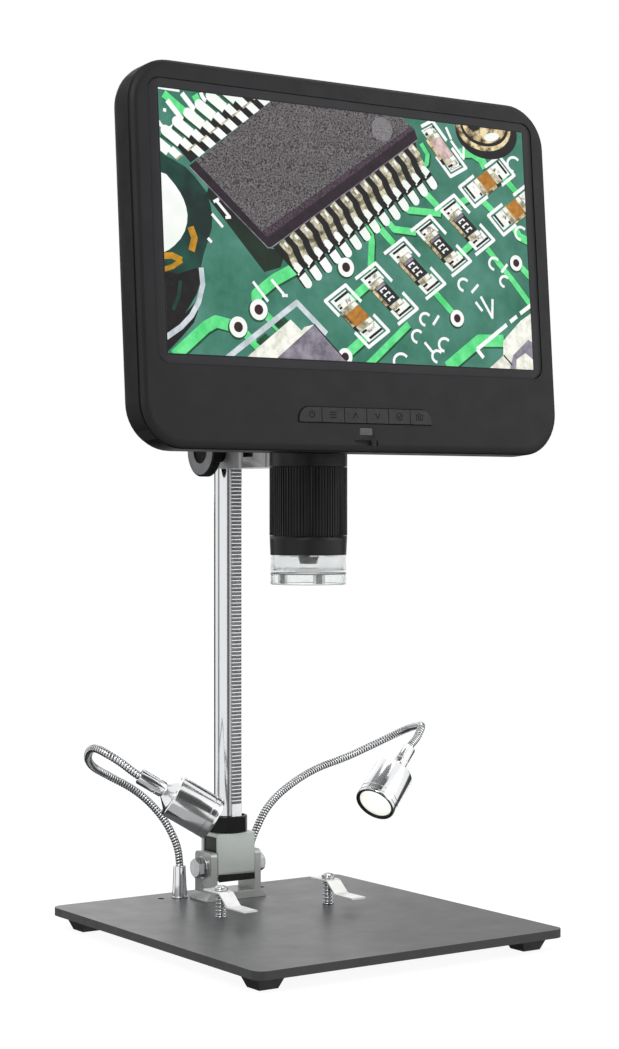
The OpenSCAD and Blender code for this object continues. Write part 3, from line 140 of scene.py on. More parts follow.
# key: material's name, light and dark colour, roughness, metallic, scale of the mottling, and more by name
M = {
    "plate": surface("plate_paint", "#464647", "#404042", (0.3, 0.38), scale=25, grain=5200, bump=0.12,
        level=0.62),
    # painted shade: the plate's sides take a darker copy of its paint
    "plate_edge": surface("plate_paint_side_painted_shade", "#38383a", "#323234", (0.4, 0.5), grain=4200, bump=0.14,
        level=0.3),
    "rubber": surface("foot_rubber", "#1b1b1c", "#121213", (0.6, 0.75), scale=90, grain=3000, bump=0.3),
    "satin": surface("satin_aluminium", "#c4cac5", "#b8beb9", (0.34, 0.42), 0.7, 45, grain=1900, bump=0.06),
    "steel": surface("bright_steel", "#d9dbdc", "#c2c4c6", (0.14, 0.24), 1.0, 160, grain=2500, bump=0.06),
    "chrome": surface("chrome_plate", "#f2f3f4", "#e4e6e8", (0.06, 0.1), 1.0, 60, grain=1200, bump=0.015),
    "wire": surface("neck_wire", "#e2e4e6", "#d2d4d6", (0.1, 0.16), 1.0, 120, bump=0.02, grain=1500),
    # painted shade in the neck's grooves
    "wire_groove_shade": surface("neck_groove_painted_shade", "#3c3d3f", "#2a2b2c", (0.4, 0.5), 0.5, 120, bump=0.05, grain=1500),
    "column": surface("column_chrome", "#eceeef", "#dfe1e3", (0.08, 0.14), 1.0, 40, (1, 1, 0.06), 1600, 0.01),
    # the rack's steel in three copies: lit tips, and painted shade in the grooves and on the flanks
    "rack": surface("rack_tips", "#fafafa", "#eaebeb", (0.14, 0.22), 0.5, 240, bump=0.04),
    "rack_deep": surface("rack_groove_painted_shade", "#9a9c9e", "#858789", (0.4, 0.5), 0.2, 240),
    "rack_side": surface("rack_edge_painted_shade", "#c8cacb", "#b2b4b6", (0.3, 0.4), 0.8, 240),
    "black": surface("black_plastic", "#1c1c1d", "#151516", (0.38, 0.5), scale=120, grain=4000, bump=0.12),
    "barrel": surface("barrel_black", "#161617", "#101011", (0.34, 0.46), scale=110, grain=4200, bump=0.12,
        level=0.28),
    "silver": surface("carriage_silver", "#a2a3a2", "#969796", (0.3, 0.4), 0.35, 80, grain=2400),
    "sleeve": surface("carriage_sleeve", "#f0f1f1", "#e2e4e4", (0.16, 0.24), 0.95, 80, grain=2400, bump=0.04),
    "knob": surface("knob_face", "#727375", "#66676a", (0.3, 0.4), 0.7, 120),
    # painted shade: darker copy of the knob's face for its recess
    "knob_dish": surface("knob_dish", "#4c4d4f", "#434446", (0.35, 0.45), 0.5, 120),
    "knob_rim": surface("knob_rim", "#101011", "#0a0a0b", (0.6, 0.7), 0.0, 160, level=0.15),
    "board": surface("circuit_board", "#2a7a4a", "#1a5834", (0.35, 0.5), scale=300, grain=1200, bump=0.2),
    "white_board": surface("ring_light_board", "#eceee8", "#d8dad3", (0.5, 0.6), scale=240, grain=1600),
    "frost": surface("frosted_hood", "#f4f5f5", "#eceeee", (0.3, 0.36), scale=150, grain=1800, bump=0.01,
        pass_light=0.95, ior=1.04, level=0.2),
    "clear": surface("clear_hood", "#ffffff", "#f2f6f6", (0.03, 0.08), scale=120, grain=900, bump=0.03,
        pass_light=0.95, ior=1.42),
    "glass": surface("lens_glass", "#aebcc9", "#98a8b8", (0.02, 0.06), scale=200, grain=900, bump=0.02,
        pass_light=0.6),
    "lamp_lens": surface("lamp_lens", "#fbfcf6", "#e9efe2", (0.1, 0.2), scale=220, grain=1400, bump=0.08,
        coat=0.8, coat_rough=0.05, glow=0.8),
    "lamp_chrome": surface("lamp_chrome", "#f4f5f6", "#e8eaec", (0.12, 0.17), 1.0, 60, grain=1200, bump=0.01),
    "bolt": surface("bolt_steel", "#b6b8ba", "#a2a4a6", (0.14, 0.22), 1.0, 160, grain=2500, bump=0.05),
    "lamp_mouth": surface("lamp_mouth_black", "#161617", "#0e0e0f", (0.3, 0.4), **SMALL, level=0.3),
    "strip": surface("clip_strip_steel", "#fafafa", "#ececec", (0.2, 0.26), 0.5, 160, grain=1200, bump=0.015),
    "bracket": surface("bracket_coat", "#b3b5b3", "#a5a7a5", (0.26, 0.36), 0.45, 60, bump=0.06),
    "tip": surface("lens_tip_black", "#3a3a3b", "#2a2a2b", (0.4, 0.5), **SMALL, level=0.3),
    # painted shade: grey rings at the hood's edges
    "hood_shade_line": surface("hood_line_painted_shade", "#6a6d6b", "#565957", (0.4, 0.5), **SMALL, level=0.3),
    # painted refraction in the clear hood: grey patches with lighter ends
    "refraction_shade": surface("hood_refraction_painted_shade", "#959896", "#858886", (0.3, 0.4), scale=260, grain=2000,
        pass_light=0.6, ior=1.2),
    "refraction_highlight": surface("hood_refraction_painted_highlight", "#dfe2e1", "#d2d5d4", (0.3, 0.4), scale=260, grain=2000,
        pass_light=0.8, ior=1.1),
    "nut": surface("nut_black", "#0b0b0c", "#070708", (0.3, 0.4), scale=120, grain=3600, level=0.2),
    # painted shade: dark strip on the hinge block's lower edge
    "block_foot_painted_shade": surface("block_painted_shade_black", "#1b1e1c", "#121413", (0.35, 0.45), scale=90, grain=2400,
        bump=0.05, level=0.2),
    "lamp_rim": surface("lamp_rim_black", "#1a1a1b", "#101011", (0.25, 0.35), **SMALL),
    "case": surface("case_charcoal", "#1d1d1f", "#1a1a1c", (0.45, 0.55), **CASE, level=0.2),
    # painted shade: the case's sides and underside take darker copies of its charcoal
    "case_side": surface("case_side", "#111112", "#0d0d0e", (0.5, 0.6), **CASE, level=0.15),
    "case_under": surface("case_bottom_painted_shade", "#050506", "#030304", (0.5, 0.6), **CASE, level=0.1),
    "glossy": surface("screen_glass", "#363537", "#313133", (0.3, 0.38), scale=30, grain=500, bump=0.01,
        level=0.06),
    "hinge": surface("hinge_steel", "#56595b", "#45484a", (0.3, 0.42), 0.9, 130, bump=0.15),
    "window": surface("window_smoke", "#58585a", "#4c4c4e", (0.2, 0.28), scale=260, grain=1200, bump=0.05,
        level=0.15),
    "button": surface("button_charcoal", "#232325", "#1d1d1f", (0.36, 0.46), scale=160, grain=5200, bump=0.16,
        level=0.25),
    "mark": surface("key_print", "#0a0a0b", "#050506", (0.45, 0.55), scale=600, grain=4000, level=0.1),
}

# node: (its materials, the width of its broken edges in millimetres)
DRESS = {
    "base_plate": ("plate plate_edge", 0.45), "rubber_feet": ("rubber", 0.5), "bracket": ("bracket", 0.3),
    "bracket_screws": ("steel", 0), "hinge_bolt": ("bolt", 0.35), "hinge_washers": ("steel", 0.15),
    "hinge_nut": ("steel", 0.2), "post_nuts": ("steel", 0.2), "clip_screws": ("steel", 0),
    "hinge_block": ("satin", 0.3), "block_core": ("black", 0.2), "lock_nut": ("nut", 0.25),
    "rack": ("rack rack_deep rack_side", 0), "column_cap": ("black", 0.3),
    "carriage_body": ("silver sleeve", 0), "arm_screws": ("steel", 0), "camera_housing": ("barrel", 0),
    "housing_cap": ("barrel", 0), "monitor_pin": ("steel", 0.2), "camera_board": ("board", 0.1),
    "lens_nose": ("barrel", 0), "led_board": ("white_board tip", 0.1), "diffuser": ("frost", 0),
    "clear_rim": ("clear", 0), "focus_knob": ("knob_rim knob knob_dish", 0), "pinion_shaft": ("steel", 0),
    "shaft_collar": ("steel", 0.2), "focus_ring": ("barrel", 0), "lens_carrier": ("black", 0),
    "objective_lens": ("glass", 0), "front_bezel": ("case case_side case_under", 0),
    "screen_panel": ("glossy", 0), "rear_cover": ("case case_side case_under", 0),
    "main_board": ("board", 0.1), "key_board": ("board", 0.1), "ir_window": ("window", 0.15),
    "monitor_hinge": ("hinge", 0.25), "rear_screws": ("hinge", 0), "power_socket": ("black", 0.1),
    **{f"button_{key}": ("button", 0.35) for key in ("power", "menu", "up", "down_key", "ok", "camera")},
}

BODY_OF = {n: b for b, members in frame["record"]["behaviour"]["bodies"].items() for n in members}


# ---------------- mesh helpers

def skin(bm, rings, ends=(0, -1)):
    """Faces from each ring of points in millimetres to the next, band by band, then over the ends."""
    rings = [[bm.verts.new(Vector(p) * MM) for p in ring] for ring in rings]
    bands = [[bm.faces.new((low[k], low[(k + 1) % len(low)], high[(k + 1) % len(low)], high[k]))
              for k in range(len(low))] for low, high in zip(rings, rings[1:])]
    return bands + [[bm.faces.new(rings[end]) for end in ends]]


def link(name, data):
    o = bpy.data.objects.new(name, data)
    bpy.context.scene.collection.objects.link(o)
    return o


def new_piece(name, bm, mats, body, stands_for=(), angle=30):
    """Visible piece on a body, in place of nodes; edges sharper than the angle in degrees stay sharp."""
    bmesh.ops.recalc_face_normals(bm, faces=bm.faces)
    me = bpy.data.meshes.new(name)
    bm.to_mesh(me)
    bm.free()
    for m in mats:
        me.materials.append(m)
    me.shade_smooth()
    if angle:
        me.set_sharp_from_angle(angle=math.radians(angle))
    o = link(name, me)
    if body:
        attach(o, body)
    if stands_for:
        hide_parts(*stands_for)
    return o


MERGE = 8e-6         # corners nearer than this, in metres, become one
EDGE_ANGLE = 32      # degrees; a flatter edge is smooth


def dress(node, mats, width, pick):
    """The node's own shape with merged corners, smooth curved faces and broken edges.
    pick gives the number of a face's material from its centre in millimetres and its normal."""
    bm = bmesh.new()
    bm.from_mesh(NODES[node].data)
    bmesh.ops.remove_doubles(bm, verts=bm.verts, dist=MERGE)
    if width:
        bmesh.ops.dissolve_limit(bm, angle_limit=math.radians(1), verts=bm.verts, edges=bm.edges)
        if node.startswith("button_"):    # the collar's face goes round the stem
            bmesh.ops.triangulate(bm, faces=[f for f in bm.faces if len(f.verts) > 12])
    bm.normal_update()
    for f in bm.faces:
        f.material_index = pick(f.calc_center_median() / MM, f.normal) if pick else 0
    o = new_piece(node + "_skin", bm, mats, BODY_OF[node], (node,), EDGE_ANGLE)
    if width:
        b = o.modifiers.new("edge", "BEVEL")
        b.width = width * MM
        b.segments = 2
        b.limit_method = "ANGLE"
        b.angle_limit = math.radians(EDGE_ANGLE)
    o.modifiers.new("shade", "WEIGHTED_NORMAL").keep_sharp = True


# where the carriage's sleeve begins, the ring light's board ends and the rack's tips end; the knob's face
SLEEVE_Y, BOARD_Z, RACK_TIP_Y = 48, 167.0, 52.3
KNOB_Y, KNOB_Z, KNOB_FACE_X, KNOB_FACE_R, KNOB_DISH_R = 48.235, 213.6, -21.9, 10.7, 5.7


# painted shade: case faces that point sideways get the darker copy, those that point down the near-black one
def case_shade_pick(c, n):
    return 2 if n.z < -0.8 else int(abs(n.x) > 0.8)


# painted shade: the rack's grooves and flanks get darker copies of the tips' steel
def rack_shade_pick(c, n):
    if abs(n.x) > 0.9:
        return 2
    return 0 if n.y < -0.9 and c.y < RACK_TIP_Y else 1


# the recess in the middle of the face takes the darker copy, painted shade
def knob_face(c, n):
    off_axis = math.hypot(c.y - KNOB_Y, c.z - KNOB_Z)
    if c.x > KNOB_FACE_X or off_axis > KNOB_FACE_R:
        return 0
    return 1 if c.x < KNOB_FACE_X and n.x < -0.5 and off_axis > KNOB_DISH_R else 2


PICK = {
    "carriage_body": lambda c, n: int(c.y > SLEEVE_Y and n.y < 0.9),
    # faces that don't point up get the darker copy of the plate's paint, painted shade
    "base_plate": lambda c, n: int(n.z <= 0.5),
    "front_bezel": case_shade_pick,
    "rear_cover": case_shade_pick,
    "led_board": lambda c, n: int(c.z < BOARD_Z and n.z > -0.5),
    "rack": rack_shade_pick,
    "focus_knob": knob_face,
}
for node, (keys, width) in DRESS.items():
    dress(node, [M[key] for key in keys.split()], width, PICK.get(node))


# ---------------- necks, springs and clips

def catmull(points, parts):
    """Smooth curve through the points, in parts between two of them; the outer two points only guide it."""
    out = []
    for i in range(1, len(points) - 2):
        a, b, c, d = points[i - 1:i + 3]
        for j in range(parts):
            t = j / parts
            out.append(0.5 * (2 * b + (c - a) * t + (2 * a - 5 * b + 4 * c - d) * t * t
                              + (3 * b - a - 3 * c + d) * t * t * t))
    out.append(points[-2])
    return out


def heading(points, i, reach=1):
    """Direction of a line of points at its point i."""
    return (points[min(i + reach, len(points) - 1)] - points[max(i - reach, 0)]).normalized()


class Path:
    """Smooth line with frames carried along it without twist."""

    def __init__(self, points, step):
        length = [0.0]
        for a, b in zip(points, points[1:]):
            length.append(length[-1] + (b - a).length)
        self.step = step
        self.at = []
        i = 0
        for j in range(int(length[-1] / step)):
            s = j * step
            while length[i + 1] < s:
                i += 1
            f = (s - length[i]) / (length[i + 1] - length[i])
            self.at.append(points[i].lerp(points[i + 1], f))
        self.frames = []
        n = Vector((0, 1, 0))
        for j in range(len(self.at)):
            d = heading(self.at, j, 2)
            n = (n - d * n.dot(d)).normalized()
            self.frames.append((n, d.cross(n)))

    def nearest(self, p):
        return min(range(len(self.at)), key=lambda j: (self.at[j] - p).length)


NECK_R, NECK_GROOVE, NECK_PITCH, NECK_SIDES = 1.85, 0.3, 1.3, 14
# painted shade: the wire's colour darkens near each groove
NECK_SHADE = 0.17      # this part of a turn is dark on both sides of the groove
NECK_FIRST = 8        # the lowest ring, inside the post


def wound_tube(name, path, first, last):
    """Tube of wound wire: its radius follows a screw thread with rounded crests, and the gaps have painted
    shade.
    """
    bm = bmesh.new()
    rings = []
    for j in range(first, last + 1):
        n, b = path.frames[j]
        ring = []
        for k in range(NECK_SIDES):
            a = 2 * PI * k / NECK_SIDES
            thread = abs(math.sin(PI * (j * path.step / NECK_PITCH - k / NECK_SIDES)))
            r = NECK_R - NECK_GROOVE + NECK_GROOVE * thread
            ring.append(path.at[j] + (n * math.cos(a) + b * math.sin(a)) * r)
        rings.append(ring)
    for i, band in enumerate(skin(bm, rings)[:-1]):
        for k, f in enumerate(band):
            turn = (first + i + 0.5) * path.step / NECK_PITCH - (k + 0.5) / NECK_SIDES
            f.material_index = int(abs(turn - round(turn)) < NECK_SHADE)
    return new_piece(name, bm, [M["wire"], M["wire_groove_shade"]], None, (), 0)


POST_Z = 24.3
# the post's foot, the hinge in the neck with the neck's direction there, the lamp's line, the neck's route
LAMPS = {
    "left": dict(post=(-18.8, 71.3), bend=(-38.8985, 80.9081, 60.1992), along=(-0.8227, 0.1485, 0.5487),
                 aim=(-0.77, 0.38, 0.52), route=(
        (0, 0, 0), (-1, 1, 9), (-5, 4, 19.5), (-11.5, 7, 28.5), (-19.5, 9.5, 35.5), (-31, 10.5, 42),
        (-41, 6.5, 47), (-50, -4.5, 52.5), (-56, -17, 57.5), (-58, -26, 59.5), (-56.5, -34.5, 57.5),
        (-52.5, -39, 54), (-47.6, -42.2, 49.6))),
    "right": dict(post=(18.8, 71.3), bend=(45.0766, 74.8015, 56.6475), along=(0.8981, 0.1092, 0.426),
                  aim=(0.74, 0.305, 0.6), route=(
        (0, 0, 0), (1.5, 0, 7.5), (5, 0.2, 14.5), (10.5, 1, 22), (19, 2.5, 28.5), (31, 4, 34.5),
        (43, 4.5, 39), (59, 3, 43.5), (73.5, -1, 49.5), (81.5, -6, 54), (83, -13.5, 57),
        (81, -22.5, 59), (77.5, -31, 60.2), (72.5, -37.5, 59.3), (67.6, -40.5, 55.6), (61.3, -44, 52.6))),
}
UPWARDS = (0, 0, 1)


def turned(name, profile, origin, direction, mats, body, stands_for=(), segments=96, angle=30,
           pick=None):
    """Lathe piece: (radius, length) points turned about a line; pick gives the material of each band."""
    z = Vector(direction).normalized()
    x = z.orthogonal().normalized()
    y = z.cross(x)
    o = Vector(origin)
    pick = pick or [0] * len(profile)
    bm = bmesh.new()
    rings = []
    for i, (r, h) in enumerate(profile):
        if i and (r, h) == profile[0]:
            rings.append(rings[0])
        elif r < 1e-6:
            rings.append([bm.verts.new((o + z * h) * MM)])
        else:
            rings.append([bm.verts.new((o + z * h + (x * math.cos(2 * PI * k / segments)
                                                     + y * math.sin(2 * PI * k / segments)) * r) * MM)
                          for k in range(segments)])
    for i, (low, high) in enumerate(zip(rings, rings[1:])):
        for k in range(segments if len(low) + len(high) > 2 else 0):
            m = (k + 1) % segments
            if len(low) == 1:
                f = bm.faces.new((low[0], high[m], high[k]))
            elif len(high) == 1:
                f = bm.faces.new((low[k], low[m], high[0]))
            else:
                f = bm.faces.new((low[k], low[m], high[m], high[k]))
            f.material_index = pick[i]
    if rings[0] is not rings[-1]:
        for ring, index in ((rings[0], 0), (rings[-1], -1)):
            if len(ring) > 1:
                bm.faces.new(ring).material_index = pick[index]
    return new_piece(name, bm, mats, body, stands_for, angle)


def rounded(points, radius):
    """Polyline of 2-D points with its corners turned into arcs."""
    parts = 5
    out = [Vector(points[0])]
    for a, b, c in zip(points, points[1:], points[2:]):
        a, b, c = Vector(a), Vector(b), Vector(c)
        u, v = (a - b).normalized(), (c - b).normalized()
        half = math.acos(max(-1, min(1, u.dot(v)))) / 2
        cut = min(radius / math.tan(half), (a - b).length * 0.49, (c - b).length * 0.49)
        mid = b + (u + v).normalized() * (cut / math.cos(half))
        start = b + u * cut - mid
        turn = start.angle_signed(b + v * cut - mid)
        for k in range(parts + 1):
            w = -turn * k / parts
            out.append(mid + Vector((start.x * math.cos(w) - start.y * math.sin(w),
                                     start.x * math.sin(w) + start.y * math.cos(w))))
    out.append(Vector(points[-1]))
    return out


def rod(name, node, at, profile, key):
    turned(name, profile, at, UPWARDS, [M[key]], BODY_OF[node], (node,))


for side, q in LAMPS.items():
    rod(f"post_{side}", f"lamp_post_{side}", (*q["post"], 0),
        [(1, 2.6), (2.6, 2.6), (2.8, 2.8), (2.8, 9.6), (3.6, 9.6), (3.75, 9.75), (3.75, 10.2), (3.6, 10.4),
         (3.45, 10.45), (3.3, 13.6), (2.98, 20.6), (2.84, 23.7), (2.7, 24.15), (2.45, 24.3), (1.9, 24.3),
         (1.85, 24.1), (1.85, 19.5), (1, 19.5), (1, 2.6)], "chrome")
rod("post_column", "column_tube", (0, 59.7, 0),
    [(0, 30), (4, 30), (4, 40), (6.4, 40), (6.4, 46.2), (6.4, 289.6), (6.2, 289.9), (5.9, 290),
     (4.7, 290), (4.7, 60)], "column")


def along(start, points):
    return [(r, start + h) for r, h in points]


def lamp_head(side, end, aim):
    """Sleeve, cone and cylinder with turned lines, open at the mouth, and the lens in it."""
    mouth = 39.55
    groove = [(9.5, -0.3), (9.2, -0.12), (9.2, 0.12), (9.5, 0.3)]
    shell = [(1.95, 2.65), (2.2, 2.05), (3.1, 2.05), (3.4, 2.2), (3.5, 2.55)]
    shell += along(14.35, [(3.5, -4), (3.3, -3.8), (3.3, -3.5), (3.5, -3.3), (3.5, -0.7), (3.4, -0.4),
                           (3.15, 0)])
    shell += along(18.55, [(7.1, -0.45), (8.2, -0.15), (9, 0.1), (9.35, 0.4), (9.5, 0.9)])
    shell += along(mouth - 4.1, groove) + along(mouth - 1.5, groove)
    shell += along(mouth, [(9.5, -0.45), (9.37, -0.13), (9.05, 0), (8.35, 0), (8.1, -0.25), (8.1, -2.8)])
    turned(f"lamp_{side}_body", shell, end, -aim, [M["lamp_chrome"], M["lamp_mouth"]], f"lamp_{side}",
           (f"lamp_{side}_shell",), pick=[0] * (len(shell) - 4) + [1] * 3)
    lens = along(mouth, [(8.1, -2.6), (8.1, -0.75), (8, -0.65), (7.8, -0.7), (7.78, -0.85), (7.73, -0.82),
                         (5.2, -0.62), (2.6, -0.48), (0, -0.44)])
    turned(f"lamp_{side}_lens", lens, end, -aim, [M["lamp_rim"], M["lamp_lens"]], f"lamp_{side}",
           (f"lamp_{side}_optic",), pick=[0, 0, 0, 0, 1, 1, 1, 1])


for side, q in LAMPS.items():
    post = Vector((*q["post"], POST_Z))
    end = post + Vector(q["route"][-1])
    aim = Vector(q["aim"]).normalized()
    # the line begins inside the post and ends inside the lamp's sleeve
    line = [post - Vector((0, 0, 12)), post - Vector((0, 0, 4.5))] + [post + Vector(p) for p in q["route"]]
    line += [end - aim * 8, end - aim * 16]
    path = Path(catmull(line, 24), NECK_PITCH / 6)
    bend = path.nearest(Vector(q["bend"]))
    pivot = path.nearest(end)
    # the windings meet 12 mm past the bend and 15 mm before the lamp's hinge, and end 4 mm past it
    cut_a = bend + int(12 / path.step)
    cut_b = pivot - int(15 / path.step)
    low, high, lamp = f"neck_{side}_low", f"neck_{side}_high", f"lamp_{side}"
    first = wound_tube(f"neck_{side}_winding_a", path, NECK_FIRST, cut_a)
    d = Vector(q["along"]) * 6
    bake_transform(first)
    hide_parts(f"neck_{side}_lower")
    middle = wound_tube(f"neck_{side}_winding_b", path, cut_a, cut_b)
    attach(middle, high)
    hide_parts(f"neck_{side}_upper")
    final = wound_tube(f"neck_{side}_winding_c", path, cut_b, pivot + int(4 / path.step))
    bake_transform(final)
    lamp_head(side, end, aim)


CLIP_X, CLIP_Y = 28.5, 20.3
TURNS, PARTS, CLOSED = 8, 26, 0.9      # of the coil spring; this much of a turn is closed at each end
COIL_R, WIRE_R, COIL_FOOT, COIL_RISE = 2.3, 0.3, 9.93, 9.9
STRIP_HALF, STRIP_WIDE, STRIP_EDGE = 0.4, 3.6, 0.12      # half thickness, half width, rounding

for side, sx in (("left", -1), ("right", 1)):
    # coil spring: open turns between closed ends
    coil = []
    for j in range(TURNS * PARTS + 1):
        t = min(max((j / PARTS - CLOSED) / (TURNS - 2 * CLOSED), 0), 1)
        a = 2 * PI * j / PARTS
        x, y = sx * CLIP_X + COIL_R * math.cos(a), CLIP_Y + COIL_R * math.sin(a)
        coil.append(Vector((x, y, COIL_FOOT + COIL_RISE * t)))
    bm = bmesh.new()
    rings = []
    for j, p in enumerate(coil):
        d = heading(coil, j)
        n = (Vector((0, 0, 1)) - d * d.z).normalized()
        b = d.cross(n)
        rings.append([p + (n * math.cos(k * PI / 4) + b * math.sin(k * PI / 4)) * WIRE_R for k in range(8)])
    skin(bm, rings)
    spring = new_piece(f"clip_{side}_coil", bm, [M["steel"]], f"clip_{side}_base",
                       (f"clip_spring_{side}",), 0)
    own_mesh(spring)

    # clip strip with rolled bends and round corners
    line = rounded([(29.0, 20.6), (16.3, 20.6), (9.9, 15.4), (-3.4, 15.4)], 1.6)
    cols = [-STRIP_WIDE, -STRIP_WIDE + STRIP_EDGE, STRIP_WIDE - STRIP_EDGE, STRIP_WIDE]
    bm = bmesh.new()
    rings = []
    for i, p in enumerate(line):
        d = heading(line, i)
        n = Vector((-d.y, d.x)) * STRIP_HALF
        up, down = p + n, p - n
        mid = (up + down) / 2
        soft = [mid + (up - mid) * 0.7, mid + (down - mid) * 0.7]
        ring = [(cols[0], soft[0]), (cols[1], up), (cols[2], up), (cols[3], soft[0]),
                (cols[3], soft[1]), (cols[2], down), (cols[1], down), (cols[0], soft[1])]
        rings.append([(sx * CLIP_X + x, *yz) for x, yz in ring])
    skin(bm, rings)
    new_piece(f"clip_{side}_blade", bm, [M["strip"]], f"clip_{side}",
              (f"clip_strip_{side}",), 40)


# painted shade: dark lines at the hood's edges; grey patches in the hood are painted shade from refraction,
# with painted highlights at their ends
AXIS_Y = -5.6
EDGES = {
    "hood_painted_shade_edge": [(15.6, 159.42), (16.38, 159.42), (16.4, 159.72), (16.3, 159.9), (15.6, 159.9)],
    "rim_painted_shade_edge": [(15.9, 155.06), (16.38, 155.06), (16.4, 155.22), (16.35, 155.3), (15.9, 155.3)],
}
for name, profile in EDGES.items():
    turned(name, profile + profile[:1], (0, AXIS_Y, 0), UPWARDS, [M["hood_shade_line"]], "carriage",
           (), 128, 40)
# grey patches with lighter ends: painted shade and painted highlight in the clear rim
for i, middle in enumerate((-170, -107)):
    bm = bmesh.new()
    rings = []
    for j in range(9):
        w = math.radians(middle + 10 * (j / 4 - 1))
        rings.append([(r * math.cos(w), r * math.sin(w) + AXIS_Y, z)
                      for r, z in ((15.2, 155.5), (15.0, 155.5), (15.0, 159.4), (15.2, 159.4))])
    for j, band in enumerate(skin(bm, rings)):
        for face in band:
            face.material_index = 0 if j in (2, 3, 4, 5) else 1
    new_piece(f"hood_refraction_patch_{i + 1}", bm, [M["refraction_shade"], M["refraction_highlight"]], "carriage")

# painted shade: dark strip at the lower front of the hinge block, standing in for the shade and dark
# reflection of its rounded lower edge
bm = bmesh.new()
outline = (-9.7, 18.2), (9.7, 18.2), (9.7, 21.0), (-9.7, 21.6)
skin(bm, [[(x, y, z) for x, z in outline] for y in (52.19, 52.3)])
new_piece("block_foot_painted_shade", bm, [M["block_foot_painted_shade"]], BODY_OF["hinge_block"])

# painted shade: black lining of the slot through the carriage arm, seen from both sides
outline = (-3.95, -1.85), (3.95, -1.85), (3.95, 1.85), (-3.95, 1.85)
bm = bmesh.new()
for sx in (-1, 1):
    skin(bm, [[(sx * (10 - d), 27.4 + y, 212.6 + z) for y, z in outline] for d in (0.02, 2.3)], ends=(-1,))
new_piece("arm_slot_painted_shade", bm, [M["black"]], "carriage")


# ---------------- screen picture and key marks

LEAN = math.radians(4.26)
UP = Vector((0, math.sin(LEAN), math.cos(LEAN)))
OUT = Vector((0, -math.cos(LEAN), math.sin(LEAN)))
SCREEN = Vector((0, -41.18, 302.4825))
HALF_W, HALF_H = 94, 53.3
LAYER_0, LAYER_STEP = -0.38, 0.014      # the picture's layers lie behind the glass, one just over the other


def on_screen(x, y, n):
    """Place on the leaning screen: right, up and out from its middle, all in millimetres."""
    return SCREEN + Vector((x, 0, 0)) + UP * y + OUT * n


def clip(poly, w, h):
    """The part of a convex outline that lies within w and h of the middle."""
    for axis, limit, sign in ((0, w, 1), (0, -w, -1), (1, h, 1), (1, -h, -1)):
        out = []
        for a, b in zip(poly, poly[1:] + poly[:1]):
            ina, inb = sign * a[axis] <= sign * limit, sign * b[axis] <= sign * limit
            if ina:
                out.append(a)
            if ina != inb:
                t = (limit - a[axis]) / (b[axis] - a[axis])
                p = [a[0] + (b[0] - a[0]) * t, a[1] + (b[1] - a[1]) * t]
                p[axis] = limit
                out.append(tuple(p))
        poly = out
        if len(poly) < 3:
            return []
    return poly


def screen_light(name, light, dark, scale, detail=3, edge=(0.35, 0.65)):
    """Backlit colour of the picture, mottled by noise; a little gloss from the glass over it."""
    m, t = new_material(name)
    p = t.nodes["Principled BSDF"]
    where = add(t, "ShaderNodeTexCoord").outputs["Object"]
    col = ramp(t, noise(t, where, scale, detail, 0.65), [(edge[0], rgb(dark)), (edge[1], rgb(light))])
    p.inputs["Base Color"].default_value = (0, 0, 0, 1)
    t.links.new(col, p.inputs["Emission Color"])
    p.inputs["Emission Strength"].default_value = 0.97
    t.links.new(spread(t, noise(t, where, 40), 0.1, 0.16), p.inputs["Roughness"])
    p.inputs["Specular IOR Level"].default_value = 0.12
    return m


PICTURE = {key: screen_light("picture_" + name, *looks) for key, (name, *looks) in {
    "board": ("board", "#569482", "#216b55", 42, 5, (0.3, 0.72)),
    "deep": ("deep_green", "#0d5a48", "#042420", 36, 3),
    "dark": ("dark_green", "#0c2a16", "#020a06", 60, 3),
    "trace": ("trace", "#74f29c", "#4ad678", 160, 3),
    "edge": ("trace_edge", "#0f5a34", "#06301c", 160, 3),
    "silk": ("silk", "#ffffff", "#dbe8e2", 420, 3, (0.2, 0.45)),
    "pale": ("pale_line", "#dde5ea", "#b9c4ca", 200, 3),
    "solder": ("solder", "#fffffa", "#6a614c", 380, 3, (0.34, 0.5)),
    "steel": ("lead", "#dcd6bc", "#8a8468", 420, 3, (0.38, 0.6)),
    "umber": ("lead_shade", "#a39c7c", "#575140", 420, 3, (0.38, 0.6)),
    "shade": ("shade", "#140e0d", "#020202", 300, 2),
    "body": ("package", "#7d787a", "#1d191b", 1500, 1, (0.34, 0.66)),
    "low": ("package_low", "#5a4857", "#1a0f17", 1500, 1, (0.34, 0.66)),
    "side": ("package_side", "#2b1727", "#130a12", 300, 4),
    "dot": ("dot", "#8e8a8e", "#6b676b", 1500, 1, (0.34, 0.66)),
    "tan": ("capacitor", "#cb8c2d", "#9c6114", 240, 4),
    "chip": ("resistor", "#221d27", "#0d0b11", 420, 3),
    "pink": ("chip_pink", "#ead0cc", "#b39390", 300, 3),
    "white": ("white", "#ffffff", "#f2faf2", 60, 2),
    "cream": ("connector", "#fdfdf3", "#bfbfab", 160, 4, (0.3, 0.55)),
    "gold": ("gold", "#f6e2b0", "#4a3212", 260, 4, (0.38, 0.6)),
    "grey": ("grey", "#a39daa", "#5c5666", 120, 4),
    "amber": ("amber", "#e09a12", "#a87c14", 200, 3),
    "hole": ("hole", "#3a1519", "#190809", 600, 2),
}.items()}


